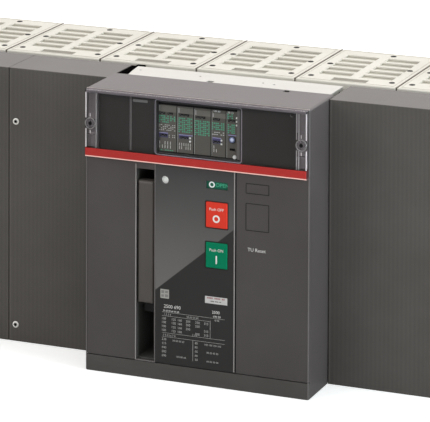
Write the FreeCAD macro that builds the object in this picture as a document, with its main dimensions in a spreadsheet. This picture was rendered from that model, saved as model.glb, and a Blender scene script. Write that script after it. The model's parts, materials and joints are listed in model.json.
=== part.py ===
import FreeCAD, Part
import math
import os
import re

import Sketcher
from FreeCAD import Placement, Rotation, Vector

# Air circuit breaker, three poles, two arc chutes to a pole. Millimetres and degrees, +Z up, front towards
# -Y, +X to the right as seen from the front. The origin is at the middle of the footprint, on the floor.
# Distances named "back" are measured rearwards from the face of the front shield, "high" from the floor and
# "across" from the shield's upright centre line.

doc = FreeCAD.newDocument("air_circuit_breaker")

SIZES = {
    # whole breaker
    "module_pitch": 126.0,
    "end_plate": 3.0,
    "rear_reach": 346.0,
    "seat_gap": 0.3,
    "running_fit": 0.08,
    # front shield and plinth
    "shield_wide": 276.0,
    "shield_high": 331.0,
    "shield_deep": 78.0,
    "shield_wall": 4.0,
    "shield_round": 2.5,
    "plinth_high": 18.5,
    "plinth_groove": 1.2,
    "tongue_high": 7.0,
    "tongue_thick": 2.0,
    "top_slot_across": 82.5,
    "top_slot_back": 72.0,
    "top_slot_long": 7.0,
    "top_slot_wide": 7.0,
    # recess behind the window and the modules in it
    "recess_side": 16.0,
    "recess_base": 257.0,
    "recess_deep": 28.0,
    "tray_wall": 2.0,
    "module_face": 1.2,
    "module_wall": 1.6,
    "divider_across": -82.4,
    "divider_wide": 2.4,
    "module_rivet": 2.4,
    # trip unit
    "unit_across": 1.2,
    "unit_wide": 108.6,
    "unit_base": 260.0,
    "unit_high": 65.0,
    "unit_deep": 52.0,
    "unit_wall": 2.0,
    "bezel_bar": 3.3,
    "bezel_round": 4.0,
    "bezel_face": 2.6,
    "bezel_deep": 4.4,
    "switch_high": 2.2,
    "switch_proud": 1.6,
    "plug_radius": 3.4,
    "test_button_radius": 2.2,
    "test_button_proud": 1.4,
    "test_button_long": 7.0,
    "test_button_round": 0.5,
    # transparent window cover, its red band and its latches
    "window_proud": 7.0,
    "window_inset": 1.0,
    "window_base": 252.0,
    "window_drop": 1.0,
    "window_wall": 2.0,
    "window_round": 1.5,
    "band_high": 10.4,
    "latch_inset": 6.8,
    "latch_high": 291.0,
    "latch_head": 5.4,
    "latch_sunk": 3.8,
    "latch_stem": 3.0,
    "latch_long": 9.0,
    "latch_slot": 1.4,
    # centre plate with its flags and push buttons
    "plate_left": -50.6,
    "plate_wide": 97.0,
    "plate_top": 251.0,
    "plate_thick": 2.0,
    "plate_ledge": 2.0,
    "plate_groove": 1.6,
    "button_across": 25.5,
    "button_wide": 26.6,
    "button_high": 29.5,
    "button_gap": 0.4,
    "button_round": 1.2,
    "button_proud": 1.0,
    "button_head": 9.0,
    "button_stem": 4.0,
    "button_stem_long": 22.0,
    "off_button_high": 198.8,
    "on_button_high": 152.3,
    "flag_window_wide": 26.8,
    "flag_window_high": 8.8,
    "window_level": 232.8,
    "dot_across": -38.8,
    "dot_radius": 4.5,
    "flag_high": 20.0,
    "flag_thick": 1.5,
    "flag_margin": 1.5,
    "rail_wide": 1.5,
    "guide_back": 18.0,
    "guide_thick": 3.0,
    "guide_margin": 2.5,
    "guide_wall": 1.5,
    "spring_wire": 0.7,
    "spring_coil": 6.2,
    # key lock blank and trip reset button on the right
    "panel_across": 75.2,
    "panel_piece_wide": 27.0,
    "blank_high": 10.4,
    "blank_level": 233.8,
    "reset_high": 30.0,
    "reset_level": 201.2,
    "reset_deep": 9.0,
    "flange_out": 2.0,
    "flange_thick": 1.5,
    # charging lever in its channel
    "channel_lip": 1.2,
    "channel_wide": 22.6,
    "channel_base": 20.5,
    "channel_top": 247.0,
    "channel_deep": 52.0,
    "liner_wall": 1.5,
    "lever_gap": 1.4,
    "lever_base": 86.5,
    "lever_top": 229.0,
    "lever_thick": 13.0,
    "lever_inset": 0.5,
    "lever_round": 3.0,
    "lever_web": 12.0,
    "lever_web_high": 26.0,
    "hub_radius": 11.5,
    # cam shaft, cam, ratchet wheel and spring carriage
    "shaft_back": 38.0,
    "shaft_high": 80.0,
    "cam_shaft_radius": 7.0,
    "cam_across": -8.0,
    "cam_thick": 12.0,
    "cam_low": 12.0,
    "cam_lift": 17.0,
    "cam_rise": 270.0,
    "cam_dwell": 60.0,
    "cam_gap": 0.6,
    "ratchet_across": -30.0,
    "ratchet_radius": 21.0,
    "ratchet_tooth": 2.5,
    "ratchet_thick": 7.0,
    "roller_radius": 8.0,
    "yoke_wide": 30.0,
    "yoke_high": 26.0,
    "yoke_deep": 12.0,
    "guide_rod": 5.0,
    "guide_rod_long": 48.0,
    "main_spring_long": 38.0,
    "main_spring_coil": 11.0,
    "main_spring_wire": 1.8,
    "abutment_thick": 4.0,
    # mechanism frame
    "frame_left": -44.0,
    "frame_right": 40.0,
    "frame_sheet": 4.0,
    "frame_front": 24.0,
    "frame_neck": 240.0,
    "frame_neck_front": 82.0,
    "frame_neck_back": 130.5,
    "tie_rod": 4.0,
    # pole shaft, cranks and coupling links
    "pole_shaft_back": 124.0,
    "pole_shaft_high": 45.0,
    "pole_shaft_radius": 10.0,
    "shaft_turn": 40.0,
    "crank_thick": 4.0,
    "crank_half": 7.0,
    "link_half": 5.5,
    "link_wide": 12.0,
    "link_slack": 1.6,
    "drive_pin": 4.0,
    # moving contacts
    "contact_swing": 16.0,
    "contact_pivot_back": 210.0,
    "contact_pivot_high": 30.0,
    "contact_reach": 150.0,
    "drive_reach": 60.0,
    "pivot_pin": 5.0,
    "carrier_half": 99.0,
    "carrier_thick": 20.0,
    "carrier_top": 40.0,
    "carrier_drop": 14.0,
    "finger_wide": 14.0,
    "finger_pitch": 18.0,
    "finger_first": 36.0,
    "finger_thick": 10.0,
    "pad_high": 10.0,
    "pad_out": 3.0,
    "contact_gap": 0.5,
    # terminals, flexible links and current sensors
    "bar_wide": 88.0,
    "upper_bar_high": 168.0,
    "lower_bar_high": 23.0,
    "bar_thick": 14.0,
    "fixed_contact_high": 30.0,
    "fixed_contact_thick": 12.0,
    "terminal_hole": 6.5,
    "terminal_hole_pitch": 44.0,
    "terminal_hole_inset": 15.0,
    "lower_bar_front": 236.0,
    "braid_leaf": 2.4,
    "braid_pitch": 3.6,
    "sensor_back": 262.0,
    "sensor_deep": 24.0,
    "sensor_rim": 9.0,
    "sensor_gap": 2.0,
    # pole housings
    "housing_front": 150.0,
    "housing_back": 316.0,
    "housing_wall": 5.0,
    "chute_rise": 28.3,
    "slot_wide": 34.0,
    "slot_base": 58.0,
    "slot_top": 96.0,
    # arc chutes
    "chute_top": 328.0,
    "chute_lid": 2.0,
    "chute_wall": 3.0,
    "chute_gap": 0.6,
    "chute_round": 2.0,
    "skirt_base": 215.0,
    "skirt_wide": 110.0,
    "skirt_inset": 8.0,
    "vent_wide": 41.0,
    "vent_deep": 16.0,
    "vent_pitch": 22.6,
    "vent_across": 26.0,
    "vent_first": 40.5,
    "label_wide": 44.0,
    "label_deep": 14.0,
    "label_sunk": 1.0,
    "label_back": 15.0,
    "chute_screw_across": 50.5,
    "chute_screw_front": 21.0,
    "chute_screw_middle": 87.0,
    "chute_screw_rear": 152.0,
    "chute_screw_aside": 7.6,
    "chute_screw_radius": 2.6,
    "chute_screw_long": 9.0,
    "chute_screw_sunk": 1.2,
    "screen_thick": 1.0,
    "splitter_thick": 2.0,
    "splitter_pitch": 15.6,
    "splitter_drop": 31.0,
    # covers beside the shield
    "cover_setback": 62.0,
    "cover_proud": 1.0,
    "cover_back": 133.0,
    "cover_wall": 3.0,
    "cover_gap": 0.6,
    "inner_cover_wide": 129.0,
    "cover_screw_inset": 9.0,
    "cover_screw_low": 20.0,
    "cover_screw_upper": 265.0,
    "screw_head": 3.2,
    "screw_dome": 1.4,
    "screw_dome_round": 1.1,
    "screw_shank": 2.0,
    "screw_long": 7.0,
    # tray on top of the mechanism
    "tray_top": 328.0,
    "tray_sheet": 2.0,
    "tray_left_inset": 5.5,
    "tray_right_inset": 8.0,
    "tray_flange": 24.0,
    "tray_corner": 10.0,
    "tray_hole": 1.6,
    # base, cross frame and side frames
    "floor_sheet": 3.0,
    "cross_back": 145.0,
    "cross_sheet": 4.0,
    "side_flange_wide": 19.0,
    "side_flange_inset": 9.5,
    "fixing_hole": 4.5,
    "fixing_low": 60.0,
    "fixing_spacing": 200.0,
}

POLES = (-1, 0, 1)
MODULES = (-2.5, -1.5, -0.5, 0.5, 1.5, 2.5)
HALF_WIDE = "(3 * module_pitch + end_plate)"
HOUSING_TOP = "(chute_top - chute_rise)"
COVER_TOP = "(tray_top + cover_proud)"
CENTRE = "module_pitch / 2"
FRONT = "(window_proud - rear_reach) / 2"
TURNS = {"X": Rotation(Vector(0, 1, 0), 90), "Y": Rotation(Vector(1, 0, 0), -90), "Z": Rotation()}
WORD = re.compile(r"[a-z][a-z_]*[a-z]")

size = doc.addObject("Spreadsheet::Sheet", "size")
for row, (alias, value) in enumerate(SIZES.items(), 1):
    size.set(f"A{row}", alias)
    size.set(f"B{row}", str(value))
    size.setAlias(f"B{row}", alias)
doc.recompute()

NODES = []


# ---------------------------------------------------------------- helpers


def bound(text):
    """Point each size name in an expression at its cell in the sheet."""
    return WORD.sub(lambda word: f"size.{word.group()}" if word.group() in SIZES else word.group(), str(text))


def across(low, high):
    """A span of X counted from the shield's centre line."""
    return f"{CENTRE} + ({low})", f"{CENTRE} + ({high})"


def back(low, high):
    """A span of Y counted rearwards from the shield's face."""
    return f"{FRONT} + ({low})", f"{FRONT} + ({high})"


def about(middle, wide):
    """A span of a given width about a middle."""
    return f"({middle}) - ({wide}) / 2", f"({middle}) + ({wide}) / 2"


def place(shape, x, y, z):
    """Bind the three coordinates of a shape's place."""
    for axis, value in zip("xyz", (x, y, z)):
        shape.setExpression(f"Placement.Base.{axis}", bound(value))


def box(name, x, y, z):
    """A block that fills the spans x, y and z, each a pair of size expressions, low then high."""
    block = doc.addObject("Part::Box", name)
    for side, (low, high) in zip(("Length", "Width", "Height"), (x, y, z)):
        block.setExpression(side, bound(f"({high}) - ({low})"))
    place(block, x[0], y[0], z[0])
    return block


def rod(name, axis, span, centre, radius):
    """A round bar along axis over span. Centre is its other two coordinates, in X, Y, Z order."""
    bar = doc.addObject("Part::Cylinder", name)
    bar.setExpression("Radius", bound(radius))
    bar.setExpression("Height", bound(f"({span[1]}) - ({span[0]})"))
    bar.Placement = Placement(Vector(), TURNS[axis])
    first, second = centre
    places = {"X": (span[0], first, second), "Y": (first, span[0], second), "Z": (first, second, span[0])}
    place(bar, *places[axis])
    return bar


def fuse(name, *shapes):
    """One solid of several that touch."""
    result = doc.addObject("Part::MultiFuse", name)
    result.Shapes = list(shapes)
    return result


def group(name, *shapes):
    """Separate solids kept together, such as a set of screws."""
    result = doc.addObject("Part::Compound", name)
    result.Links = list(shapes)
    return result


def cut(name, base, *tools):
    """A shape with the tools taken away from it."""
    result = doc.addObject("Part::Cut", name)
    result.Base = base
    result.Tool = tools[0] if len(tools) == 1 else fuse(f"{name}_openings", *tools)
    return result


def runs(edge, axis):
    """Whether an edge is straight and parallel to axis, x, y or z."""
    if edge.Curve.TypeId != "Part::GeomLine":
        return False
    return abs(getattr(edge.tangentAt(edge.FirstParameter), axis)) > 0.999


def rounded(name, base, radius, wanted):
    """Round by a size in the sheet those edges of base for which wanted(edge, middle, bounds) holds."""
    doc.recompute()
    bounds = base.Shape.BoundBox
    reach = size.get(radius)
    result = doc.addObject("Part::Fillet", name)
    result.Base = base
    result.Edges = [
        (number, reach, reach)
        for number, edge in enumerate(base.Shape.Edges, 1)
        if wanted(edge, edge.CenterOfMass, bounds)
    ]
    return result


def turn(shape, angle, x, y, z):
    """Lean a shape that is built upright at the origin by angle about X, and put its origin in place."""
    shape.Placement = Placement(Vector(), Rotation(Vector(1, 0, 0), 1))
    shape.setExpression("Placement.Rotation.Angle", bound(angle))
    place(shape, x, y, z)
    return shape


def node(shape, label):
    """List a finished sub-part under its own label."""
    shape.Label = label
    NODES.append(shape)
    return shape


def plane_sketch(body, role, name):
    """A sketch on one of a body's own origin planes."""
    sketch = body.newObject("Sketcher::SketchObject", name)
    sketch.AttachmentSupport = [(next(f for f in body.Origin.OriginFeatures if f.Role == role), "")]
    sketch.MapMode = "FlatFace"
    return sketch


def sketch_rectangle(sketch, wide, high):
    """Draw a rectangle about the sketch's origin, its width and height bound to size expressions."""
    corners = [Vector(-5, -5), Vector(5, -5), Vector(5, 5), Vector(-5, 5)]
    first = sketch.GeometryCount
    for start, end in zip(corners, corners[1:] + corners[:1]):
        sketch.addGeometry(Part.LineSegment(start, end), False)
    for side in range(4):
        sketch.addConstraint(Sketcher.Constraint("Coincident", first + side, 2, first + (side + 1) % 4, 1))
        kind = "Horizontal" if side % 2 == 0 else "Vertical"
        sketch.addConstraint(Sketcher.Constraint(kind, first + side))
    sketch.addConstraint(Sketcher.Constraint("Symmetric", first, 1, first + 2, 1, -1, 1))
    for kind, line, expression in (("DistanceX", first, wide), ("DistanceY", first + 1, high)):
        number = sketch.addConstraint(Sketcher.Constraint(kind, line, 1, line, 2, 10.0))
        sketch.setExpression(f"Constraints[{number}]", bound(expression))


def sketch_circle(sketch, radius):
    """Draw a circle about the sketch's origin with its radius bound to a size expression."""
    ring = sketch.addGeometry(Part.Circle(Vector(), Vector(0, 0, 1), 5.0), False)
    sketch.addConstraint(Sketcher.Constraint("Coincident", ring, 3, -1, 1))
    number = sketch.addConstraint(Sketcher.Constraint("Radius", ring, 5.0))
    sketch.setExpression(f"Constraints[{number}]", bound(radius))


def pad(body, sketch, length, rearwards=True):
    """Pad a sketch that lies across Y, rearwards or forwards from its plane."""
    feature = body.newObject("PartDesign::Pad", f"{sketch.Name}_pad")
    feature.Profile = sketch
    feature.setExpression("Length", bound(length))
    feature.Reversed = rearwards
    return feature


# ---------------------------------------------------------------- front shield, plinth, covers


def front_shield():
    """The moulded shield: a box open at its rear and foot, whose sides reach the floor behind the plinth."""
    half = "shield_wide / 2"
    foot = "plinth_high + plinth_groove"
    outer = box("shield_block", across(f"-{half}", half), back(0, "shield_deep"), (foot, "shield_high"))
    soft = rounded(
        "shield_soft_block",
        outer,
        "shield_round",
        lambda edge, middle, bounds: (runs(edge, "z") and middle.y < bounds.YMin + 1)
        or (middle.z > bounds.ZMax - 1 and middle.y < bounds.YMax - 1),
    )
    inner = box(
        "shield_inside",
        across(f"shield_wall - {half}", f"{half} - shield_wall"),
        back("shield_wall", "shield_deep + 1"),
        ("0", "shield_high - shield_wall"),
    )
    face = back(-1, "shield_wall + 1")
    recess = box(
        "shield_recess",
        across("recess_side - shield_wide / 2", "shield_wide / 2 - recess_side"),
        face,
        ("recess_base", "shield_high - shield_wall"),
    )
    channel = box(
        "shield_channel", across(*channel_span()), face, ("channel_base", "channel_top")
    )
    plate_seat = box(
        "shield_plate_seat",
        across("plate_left", "plate_left + plate_wide"),
        back(-1, "plate_thick + 0.1"),
        (foot + " - 1", "plate_top"),
    )
    plate_window = box(
        "shield_plate_window",
        across("plate_left + plate_ledge", "plate_left + plate_wide - plate_ledge"),
        face,
        ("channel_base", "plate_top - plate_ledge"),
    )
    groove = box(
        "shield_plate_groove",
        across("plate_left + plate_wide + seat_gap", "plate_left + plate_wide + seat_gap + plate_groove"),
        back(-1, "plate_groove"),
        (foot + " - 1", "plate_top"),
    )
    blank = panel_opening("shield_blank_opening", "blank_level", "blank_high", face)
    reset = panel_opening("shield_reset_opening", "reset_level", "reset_high", face)
    latches = [
        rod(f"shield_latch_hole_{side}", "Y", face, (f"{CENTRE} + {latch_across(sign)}", "latch_high"),
            "latch_stem + seat_gap")
        for side, sign in (("left", -1), ("right", 1))
    ]
    slot = box(
        "shield_top_slot",
        across(*about("top_slot_across", "top_slot_long")),
        back(*about("top_slot_back", "top_slot_wide")),
        ("shield_high - shield_wall - 1", "shield_high + 1"),
    )
    openings = [recess, channel, plate_seat, plate_window, groove, blank, reset, *latches, slot]
    skirts = [
        box(f"shield_skirt_{side}", across(*span), back("shield_wall + seat_gap", "cover_setback"),
            ("0", f"{foot} + 1"))
        for side, span in (("left", (f"-{half}", f"shield_wall - {half}")),
                           ("right", (f"{half} - shield_wall", half)))
    ]
    opened = cut("shield_opened", cut("shield_shell", soft, inner), *openings)
    node(fuse("front_shield_shape", opened, *skirts), "front_shield")


def channel_span():
    """The left and right edges of the lever channel, beside the centre plate."""
    right = "plate_left - channel_lip"
    return f"{right} - channel_wide", right


def latch_across(sign):
    """How far a latch lies from the centre line."""
    return f"({sign}) * (shield_wide / 2 - window_inset - latch_inset)"


def panel_opening(name, level, high, depth):
    """An opening in the right of the face, about a piece that fits it."""
    return box(name, across(*about("panel_across", "panel_piece_wide + 2 * seat_gap")), depth,
               about(level, f"{high} + 2 * seat_gap"))


def plinth_strip():
    """The band across the shield's foot, below the groove, with a tongue that reaches up behind the face."""
    half = "shield_wide / 2"
    block = box("plinth_block", across(f"-{half}", half), back(0, "shield_wall"), ("0", "plinth_high"))
    band = rounded("plinth_band", block, "shield_round",
                   lambda edge, middle, bounds: runs(edge, "z") and middle.y < bounds.YMin + 1)
    inside = across(f"shield_wall + seat_gap - {half}", f"{half} - shield_wall - seat_gap")
    tongue = box(
        "plinth_tongue",
        inside,
        back("shield_wall + seat_gap", "shield_wall + seat_gap + tongue_thick"),
        ("plinth_high - tongue_high", "plinth_high + plinth_groove + tongue_high"),
    )
    root = box(
        "plinth_tongue_root",
        inside,
        back("shield_wall - 1", "shield_wall + seat_gap + tongue_thick"),
        ("plinth_high - tongue_high", "plinth_high"),
    )
    clear = box("plinth_tongue_gap", across(f"{channel_span()[0]} - 4", "plate_left + plate_wide + 2"),
                back("shield_wall", "shield_wall + 9"),
                ("plinth_high - tongue_high - 1", "plinth_high + plinth_groove + tongue_high + 1"))
    rib = cut("plinth_rib", fuse("plinth_rib_block", tongue, root), clear)
    node(fuse("plinth_strip_shape", band, rib), "plinth_strip")


def cover_shell(name, x, inside):
    """A cover: a front and a top wall over the span x, with the span inside taken out behind them."""
    block = box(f"{name}_block", x, back("cover_setback", "cover_back"), ("0", COVER_TOP))
    soft = rounded(f"{name}_soft_block", block, "cover_gap",
                   lambda edge, middle, bounds: middle.y < bounds.YMin + 1 and middle.z > 1)
    hollow = box(f"{name}_inside", inside, back("cover_setback + cover_wall", "cover_back + 1"),
                 ("-1", f"{COVER_TOP} - cover_wall"))
    return soft, hollow


def cover_screw_places():
    """The cover screws' X and Z expressions: each cover's free edge, low and high."""
    inner_seam = f"{CENTRE} - shield_wide / 2 - cover_gap - inner_cover_wide"
    edges = {
        "inner": f"{inner_seam} + cover_screw_inset",
        "left": f"cover_screw_inset - {HALF_WIDE}",
        "right": f"{HALF_WIDE} - cover_screw_inset",
    }
    levels = ("low", "upper")
    return {(name, level): (x, f"cover_screw_{level}") for name, x in edges.items() for level in levels}


def covers():
    """The covers left and right of the shield, and the screws that hold their free edges."""
    seam = f"{CENTRE} - shield_wide / 2 - cover_gap"
    inner_left = f"{seam} - inner_cover_wide"
    side_wall = "(end_plate - seat_gap)"
    spans = {
        "left_outer_cover": (f"-{HALF_WIDE}", f"{inner_left} - cover_gap"),
        "left_inner_cover": (inner_left, seam),
        "right_cover": (f"{CENTRE} + shield_wide / 2 + cover_gap", HALF_WIDE),
    }
    insides = {
        "left_outer_cover": (f"{side_wall} - {HALF_WIDE}", f"{inner_left} + 1"),
        "left_inner_cover": (f"{inner_left} - 1", f"{seam} + 1"),
        "right_cover": (f"{CENTRE} + shield_wide / 2 - 1", f"{HALF_WIDE} - {side_wall}"),
    }
    owners = {"left_outer_cover": "left", "left_inner_cover": "inner", "right_cover": "right"}
    screws = cover_screw_places()
    for name, x in spans.items():
        soft, hollow = cover_shell(name, x, insides[name])
        holes = [
            rod(f"{name}_hole_{level}", "Y", back("cover_setback - 1", "cover_setback + cover_wall + 1"),
                screws[owners[name], level], "screw_shank + seat_gap")
            for level in ("low", "upper")
        ]
        node(cut(f"{name}_shape", soft, hollow, *holes), name)
    pieces = []
    for number, place_of in enumerate(screws.values(), 1):
        head = rod(f"cover_screw_head_{number}", "Y", back("cover_setback - screw_dome", "cover_setback"),
                   place_of, "screw_head")
        dome = rounded(f"cover_screw_dome_{number}", head, "screw_dome_round",
                       lambda edge, middle, bounds: middle.y < bounds.YMin + 0.01)
        shank = rod(f"cover_screw_shank_{number}", "Y",
                    back("cover_setback - 0.5", "cover_setback + screw_long"), place_of, "screw_shank")
        pieces.append(fuse(f"cover_screw_{number}", dome, shank))
    node(group("cover_screws_shape", *pieces), "cover_screws")


# ---------------------------------------------------------------- modules and trip unit behind the window


def module_tray():
    """The tray behind the window: a floor, two sides, a back open for the trip unit, and one divider."""
    half = "(shield_wide / 2 - recess_side)"
    top = "shield_high - shield_wall - seat_gap"
    depth = back("shield_wall + seat_gap", "shield_wall + seat_gap + recess_deep + tray_wall")
    block = box("tray_block", across(f"-{half} - tray_wall", f"{half} + tray_wall"), depth,
                ("recess_base - tray_wall", top))
    pocket = box(
        "tray_pocket",
        across(f"-{half}", half),
        back(0, "shield_wall + seat_gap + recess_deep"),
        ("recess_base", f"{top} + 1"),
    )
    divider = box("tray_divider", across(*about("divider_across", "divider_wide")), depth,
                  ("recess_base - 1", top))
    opening = box("tray_unit_opening", across(*about("unit_across", "unit_wide + 2 * seat_gap")),
                  back("recess_deep", "shield_wall + recess_deep + tray_wall + 2"),
                  ("unit_base - seat_gap", "unit_base + unit_high + 5"))
    tray = fuse("tray_with_divider", cut("tray_open", block, pocket), divider)
    node(cut("module_tray_shape", tray, opening), "module_tray")


def module_blanks():
    """The plain modules left and right of the trip unit: hollow blocks open at the rear."""
    half = "(shield_wide / 2 - recess_side - seat_gap)"
    divider = about("divider_across", "divider_wide + 2 * seat_gap")
    unit = about("unit_across", "unit_wide + 2 * seat_gap")
    spans = {
        "left_module_blank": (f"-({half})", divider[0]),
        "middle_module_blank": (divider[1], unit[0]),
        "right_module_blank": (unit[1], half),
    }
    floor = "recess_base + seat_gap"
    roof = "shield_high - shield_wall - 2 * seat_gap"
    rear = "shield_wall + recess_deep"
    for name, (left, right) in spans.items():
        block = box(f"{name}_block", across(left, right), back("module_face", rear), (floor, roof))
        hollow = box(
            f"{name}_inside",
            across(f"{left} + module_wall", f"{right} - module_wall"),
            back("module_face + module_wall", f"{rear} + 1"),
            (f"{floor} + module_wall", f"{roof} - module_wall"),
        )
        shell = cut(f"{name}_shell", block, hollow)
        if name == "right_module_blank":
            rivet = rod("module_rivet_boss", "Y", back("module_face - 0.8", "module_face + 1"),
                        (f"{CENTRE} + {right} - 2 * module_rivet", f"{roof} - 1.3 * module_rivet"),
                        "module_rivet")
            shell = fuse("right_module_with_rivet", shell, rivet)
        node(shell, name)


def unit_spot(column, level):
    """A place on the trip unit's face: a share of its width from the left and of its height from the base."""
    return f"{CENTRE} + unit_across + ({column} - 0.5) * unit_wide", f"unit_base + {level} * unit_high"


def trip_unit():
    """The electronic trip unit: case, rounded bezel, switch blocks, rating plug and test button."""
    wide = about("unit_across", "unit_wide - 2 * seat_gap")
    face = "bezel_face + bezel_deep"
    tall = ("unit_base + seat_gap", "unit_base + unit_high - seat_gap")
    case = box("unit_block", across(*wide), back(face, f"{face} + unit_deep"), tall)
    hollow = box(
        "unit_inside",
        across(f"{wide[0]} + unit_wall", f"{wide[1]} - unit_wall"),
        back(f"{face} + unit_wall", f"{face} + unit_deep - unit_wall"),
        (f"{tall[0]} + unit_wall", f"{tall[1]} - unit_wall"),
    )
    test = unit_spot(0.899, 0.092)
    hole = rod("unit_test_hole", "Y", back(f"{face} - 1", f"{face} + unit_wall + 1"), test,
               "test_button_radius + seat_gap")
    node(cut("trip_unit_case_shape", case, hollow, hole), "trip_unit_case")

    bezel = doc.addObject("PartDesign::Body", "trip_unit_bezel_body")
    ring = plane_sketch(bezel, "XZ_Plane", "bezel_outline")
    sketch_rectangle(ring, "unit_wide", "unit_high")
    sketch_rectangle(ring, "unit_wide - 2 * bezel_bar", "unit_high - 2 * bezel_bar")
    frame = pad(bezel, ring, "bezel_deep")
    doc.recompute()
    soft = bezel.newObject("PartDesign::Fillet", "bezel_corners")
    corners = [
        f"Edge{number}" for number, edge in enumerate(frame.Shape.Edges, 1)
        if runs(edge, "y") and abs(edge.CenterOfMass.x) > size.get("unit_wide") / 2 - 1
    ]
    soft.Base = (frame, corners)
    soft.setExpression("Radius", bound("bezel_round"))
    place(bezel, f"{CENTRE} + unit_across", f"{FRONT} + bezel_face", "unit_base + unit_high / 2")
    node(bezel, "trip_unit_bezel")

    banks = []
    for number, (column, level, share) in enumerate(SWITCH_BLOCKS, 1):
        x, z = unit_spot(column, level)
        banks.append(box(f"switch_block_{number}", about(x, f"{share} * unit_wide"),
                         back(f"{face} - switch_proud", face), about(z, "switch_high")))
    node(group("switch_banks_shape", *banks), "dip_switch_banks")
    node(rod("rating_plug_shape", "Y", back(f"{face} - 1.8", face), unit_spot(0.873, 0.398), "plug_radius"),
         "rating_plug")
    button = rod("test_button_head", "Y", back(f"{face} - test_button_proud",
                                               f"{face} - test_button_proud + test_button_long"),
                 test, "test_button_radius")
    node(rounded("test_button_shape", button, "test_button_round",
                 lambda edge, middle, bounds: middle.y < bounds.YMin + 0.01), "test_button")


# Each block of setting switches: middle as shares of the unit's width and height, and its share of the width.
SWITCH_BLOCKS = (
    (0.076, 0.748, 0.060),
    (0.166, 0.748, 0.052),
    (0.328, 0.746, 0.102),
    (0.512, 0.734, 0.102),
    (0.694, 0.731, 0.068),
    (0.867, 0.731, 0.075),
    (0.092, 0.355, 0.073),
    (0.325, 0.345, 0.085),
    (0.695, 0.334, 0.076),
    (0.875, 0.226, 0.054),
)


def window_cover():
    """The clear cover over the recess, its red lower band, and the two latches that hold it."""
    half = "(shield_wide / 2 - window_inset)"
    top = "shield_high - window_drop"
    seam = "window_base + band_high"
    depth = back("-window_proud", "-seat_gap")
    block = box("window_block", across(f"-{half}", half), depth, (seam, top))
    soft = rounded("window_soft_block", block, "window_round",
                   lambda edge, middle, bounds: (runs(edge, "z") and middle.y < bounds.YMin + 1)
                   or (middle.z > bounds.ZMax - 0.1 and middle.y < bounds.YMin + 1))
    hollow = box("window_inside", across(f"window_wall - {half}", f"{half} - window_wall"),
                 back("window_wall - window_proud", 1), (f"{seam} - 1", f"{top} - window_wall"))
    bosses = []
    holes = []
    for side, sign in (("left", -1), ("right", 1)):
        centre = (f"{CENTRE} + {latch_across(sign)}", "latch_high")
        bosses.append(box(f"window_boss_{side}", about(centre[0], "2 * latch_inset - window_wall"), depth,
                          about(centre[1], "26")))
        holes.append(rod(f"window_head_hole_{side}", "Y",
                         back("-window_proud - 1", "latch_sunk - window_proud"), centre,
                         "latch_head + seat_gap"))
        holes.append(rod(f"window_stem_hole_{side}", "Y", back("-window_proud", 1), centre,
                         "latch_stem + running_fit"))
        latch(side, centre)
    cover = fuse("window_with_bosses", cut("window_shell", soft, hollow), *bosses)
    node(cut("window_cover_shape", cover, *holes), "window_cover")

    strip = box("band_block", across(f"-{half}", half), depth, ("window_base", seam))
    strip_soft = rounded("band_soft_block", strip, "window_round",
                         lambda edge, middle, bounds: (runs(edge, "z") or middle.z < bounds.ZMin + 0.1)
                         and middle.y < bounds.YMin + 1)
    strip_inside = box("band_inside", across(f"window_wall - {half}", f"{half} - window_wall"),
                       back("window_wall - window_proud", 1), ("window_base + window_wall", f"{seam} + 1"))
    node(cut("red_band_shape", strip_soft, strip_inside), "red_band")


def latch(side, centre):
    """A quarter-turn latch: a slotted head sunk in the cover and a stem that reaches through the shield."""
    body = doc.addObject("PartDesign::Body", f"latch_{side}_body")
    head = plane_sketch(body, "XZ_Plane", f"latch_{side}_head")
    sketch_circle(head, "latch_head")
    pad(body, head, "latch_sunk - seat_gap")
    stem = plane_sketch(body, "XZ_Plane", f"latch_{side}_stem")
    sketch_circle(stem, "latch_stem")
    pad(body, stem, "window_proud + latch_long")
    slot = plane_sketch(body, "XZ_Plane", f"latch_{side}_slot")
    sketch_rectangle(slot, "latch_slot", "3 * latch_head")
    groove = body.newObject("PartDesign::Pocket", f"latch_{side}_groove")
    groove.Profile = slot
    groove.setExpression("Length", bound("latch_slot"))
    groove.Reversed = False
    place(body, centre[0], f"{FRONT} + seat_gap / 2 - window_proud", centre[1])
    node(body, f"latch_{side}")


# ---------------------------------------------------------------- centre plate, flags, buttons, right panel


def centre_plate():
    """The plate at the middle of the face, with its windows and, behind it, the rails of the two flags."""
    left = "plate_left + seat_gap / 2"
    right = "plate_left + plate_wide - seat_gap / 2"
    depth = back(-1, "plate_thick + 1")
    sheet = box("plate_sheet", across(left, right), back(0, "plate_thick"),
                ("plinth_high + plinth_groove", "plate_top - seat_gap"))
    windows = [
        button_opening("plate_off_opening", "off_button_high", depth),
        button_opening("plate_on_opening", "on_button_high", depth),
        box("plate_flag_window", across(*about("button_across", "flag_window_wide")), depth,
            about("window_level", "flag_window_high")),
        rod("plate_dot_window", "Y", depth, (f"{CENTRE} + dot_across", "window_level"), "dot_radius"),
    ]
    rails = []
    for name, middle, half in flag_fields():
        for side, sign in (("left", -1), ("right", 1)):
            inner = f"{middle} + ({sign}) * ({half} + flag_margin + seat_gap)"
            span = about(f"{inner} + ({sign}) * rail_wide / 2", "rail_wide")
            rails.append(box(f"{name}_rail_{side}", across(*span),
                             back("plate_thick - 0.5", "plate_thick + 2 * flag_thick + seat_gap"),
                             ("window_level - flag_high", "window_level + 0.75 * flag_high")))
    plate = cut("plate_with_windows", sheet, *windows)
    node(fuse("centre_plate_shape", plate, *rails), "centre_plate")


def flag_fields():
    """Each flag's name, its middle across and the half width of its window."""
    return (
        ("position_flag", "button_across", "flag_window_wide / 2"),
        ("spring_flag", "dot_across", "dot_radius"),
    )


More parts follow.
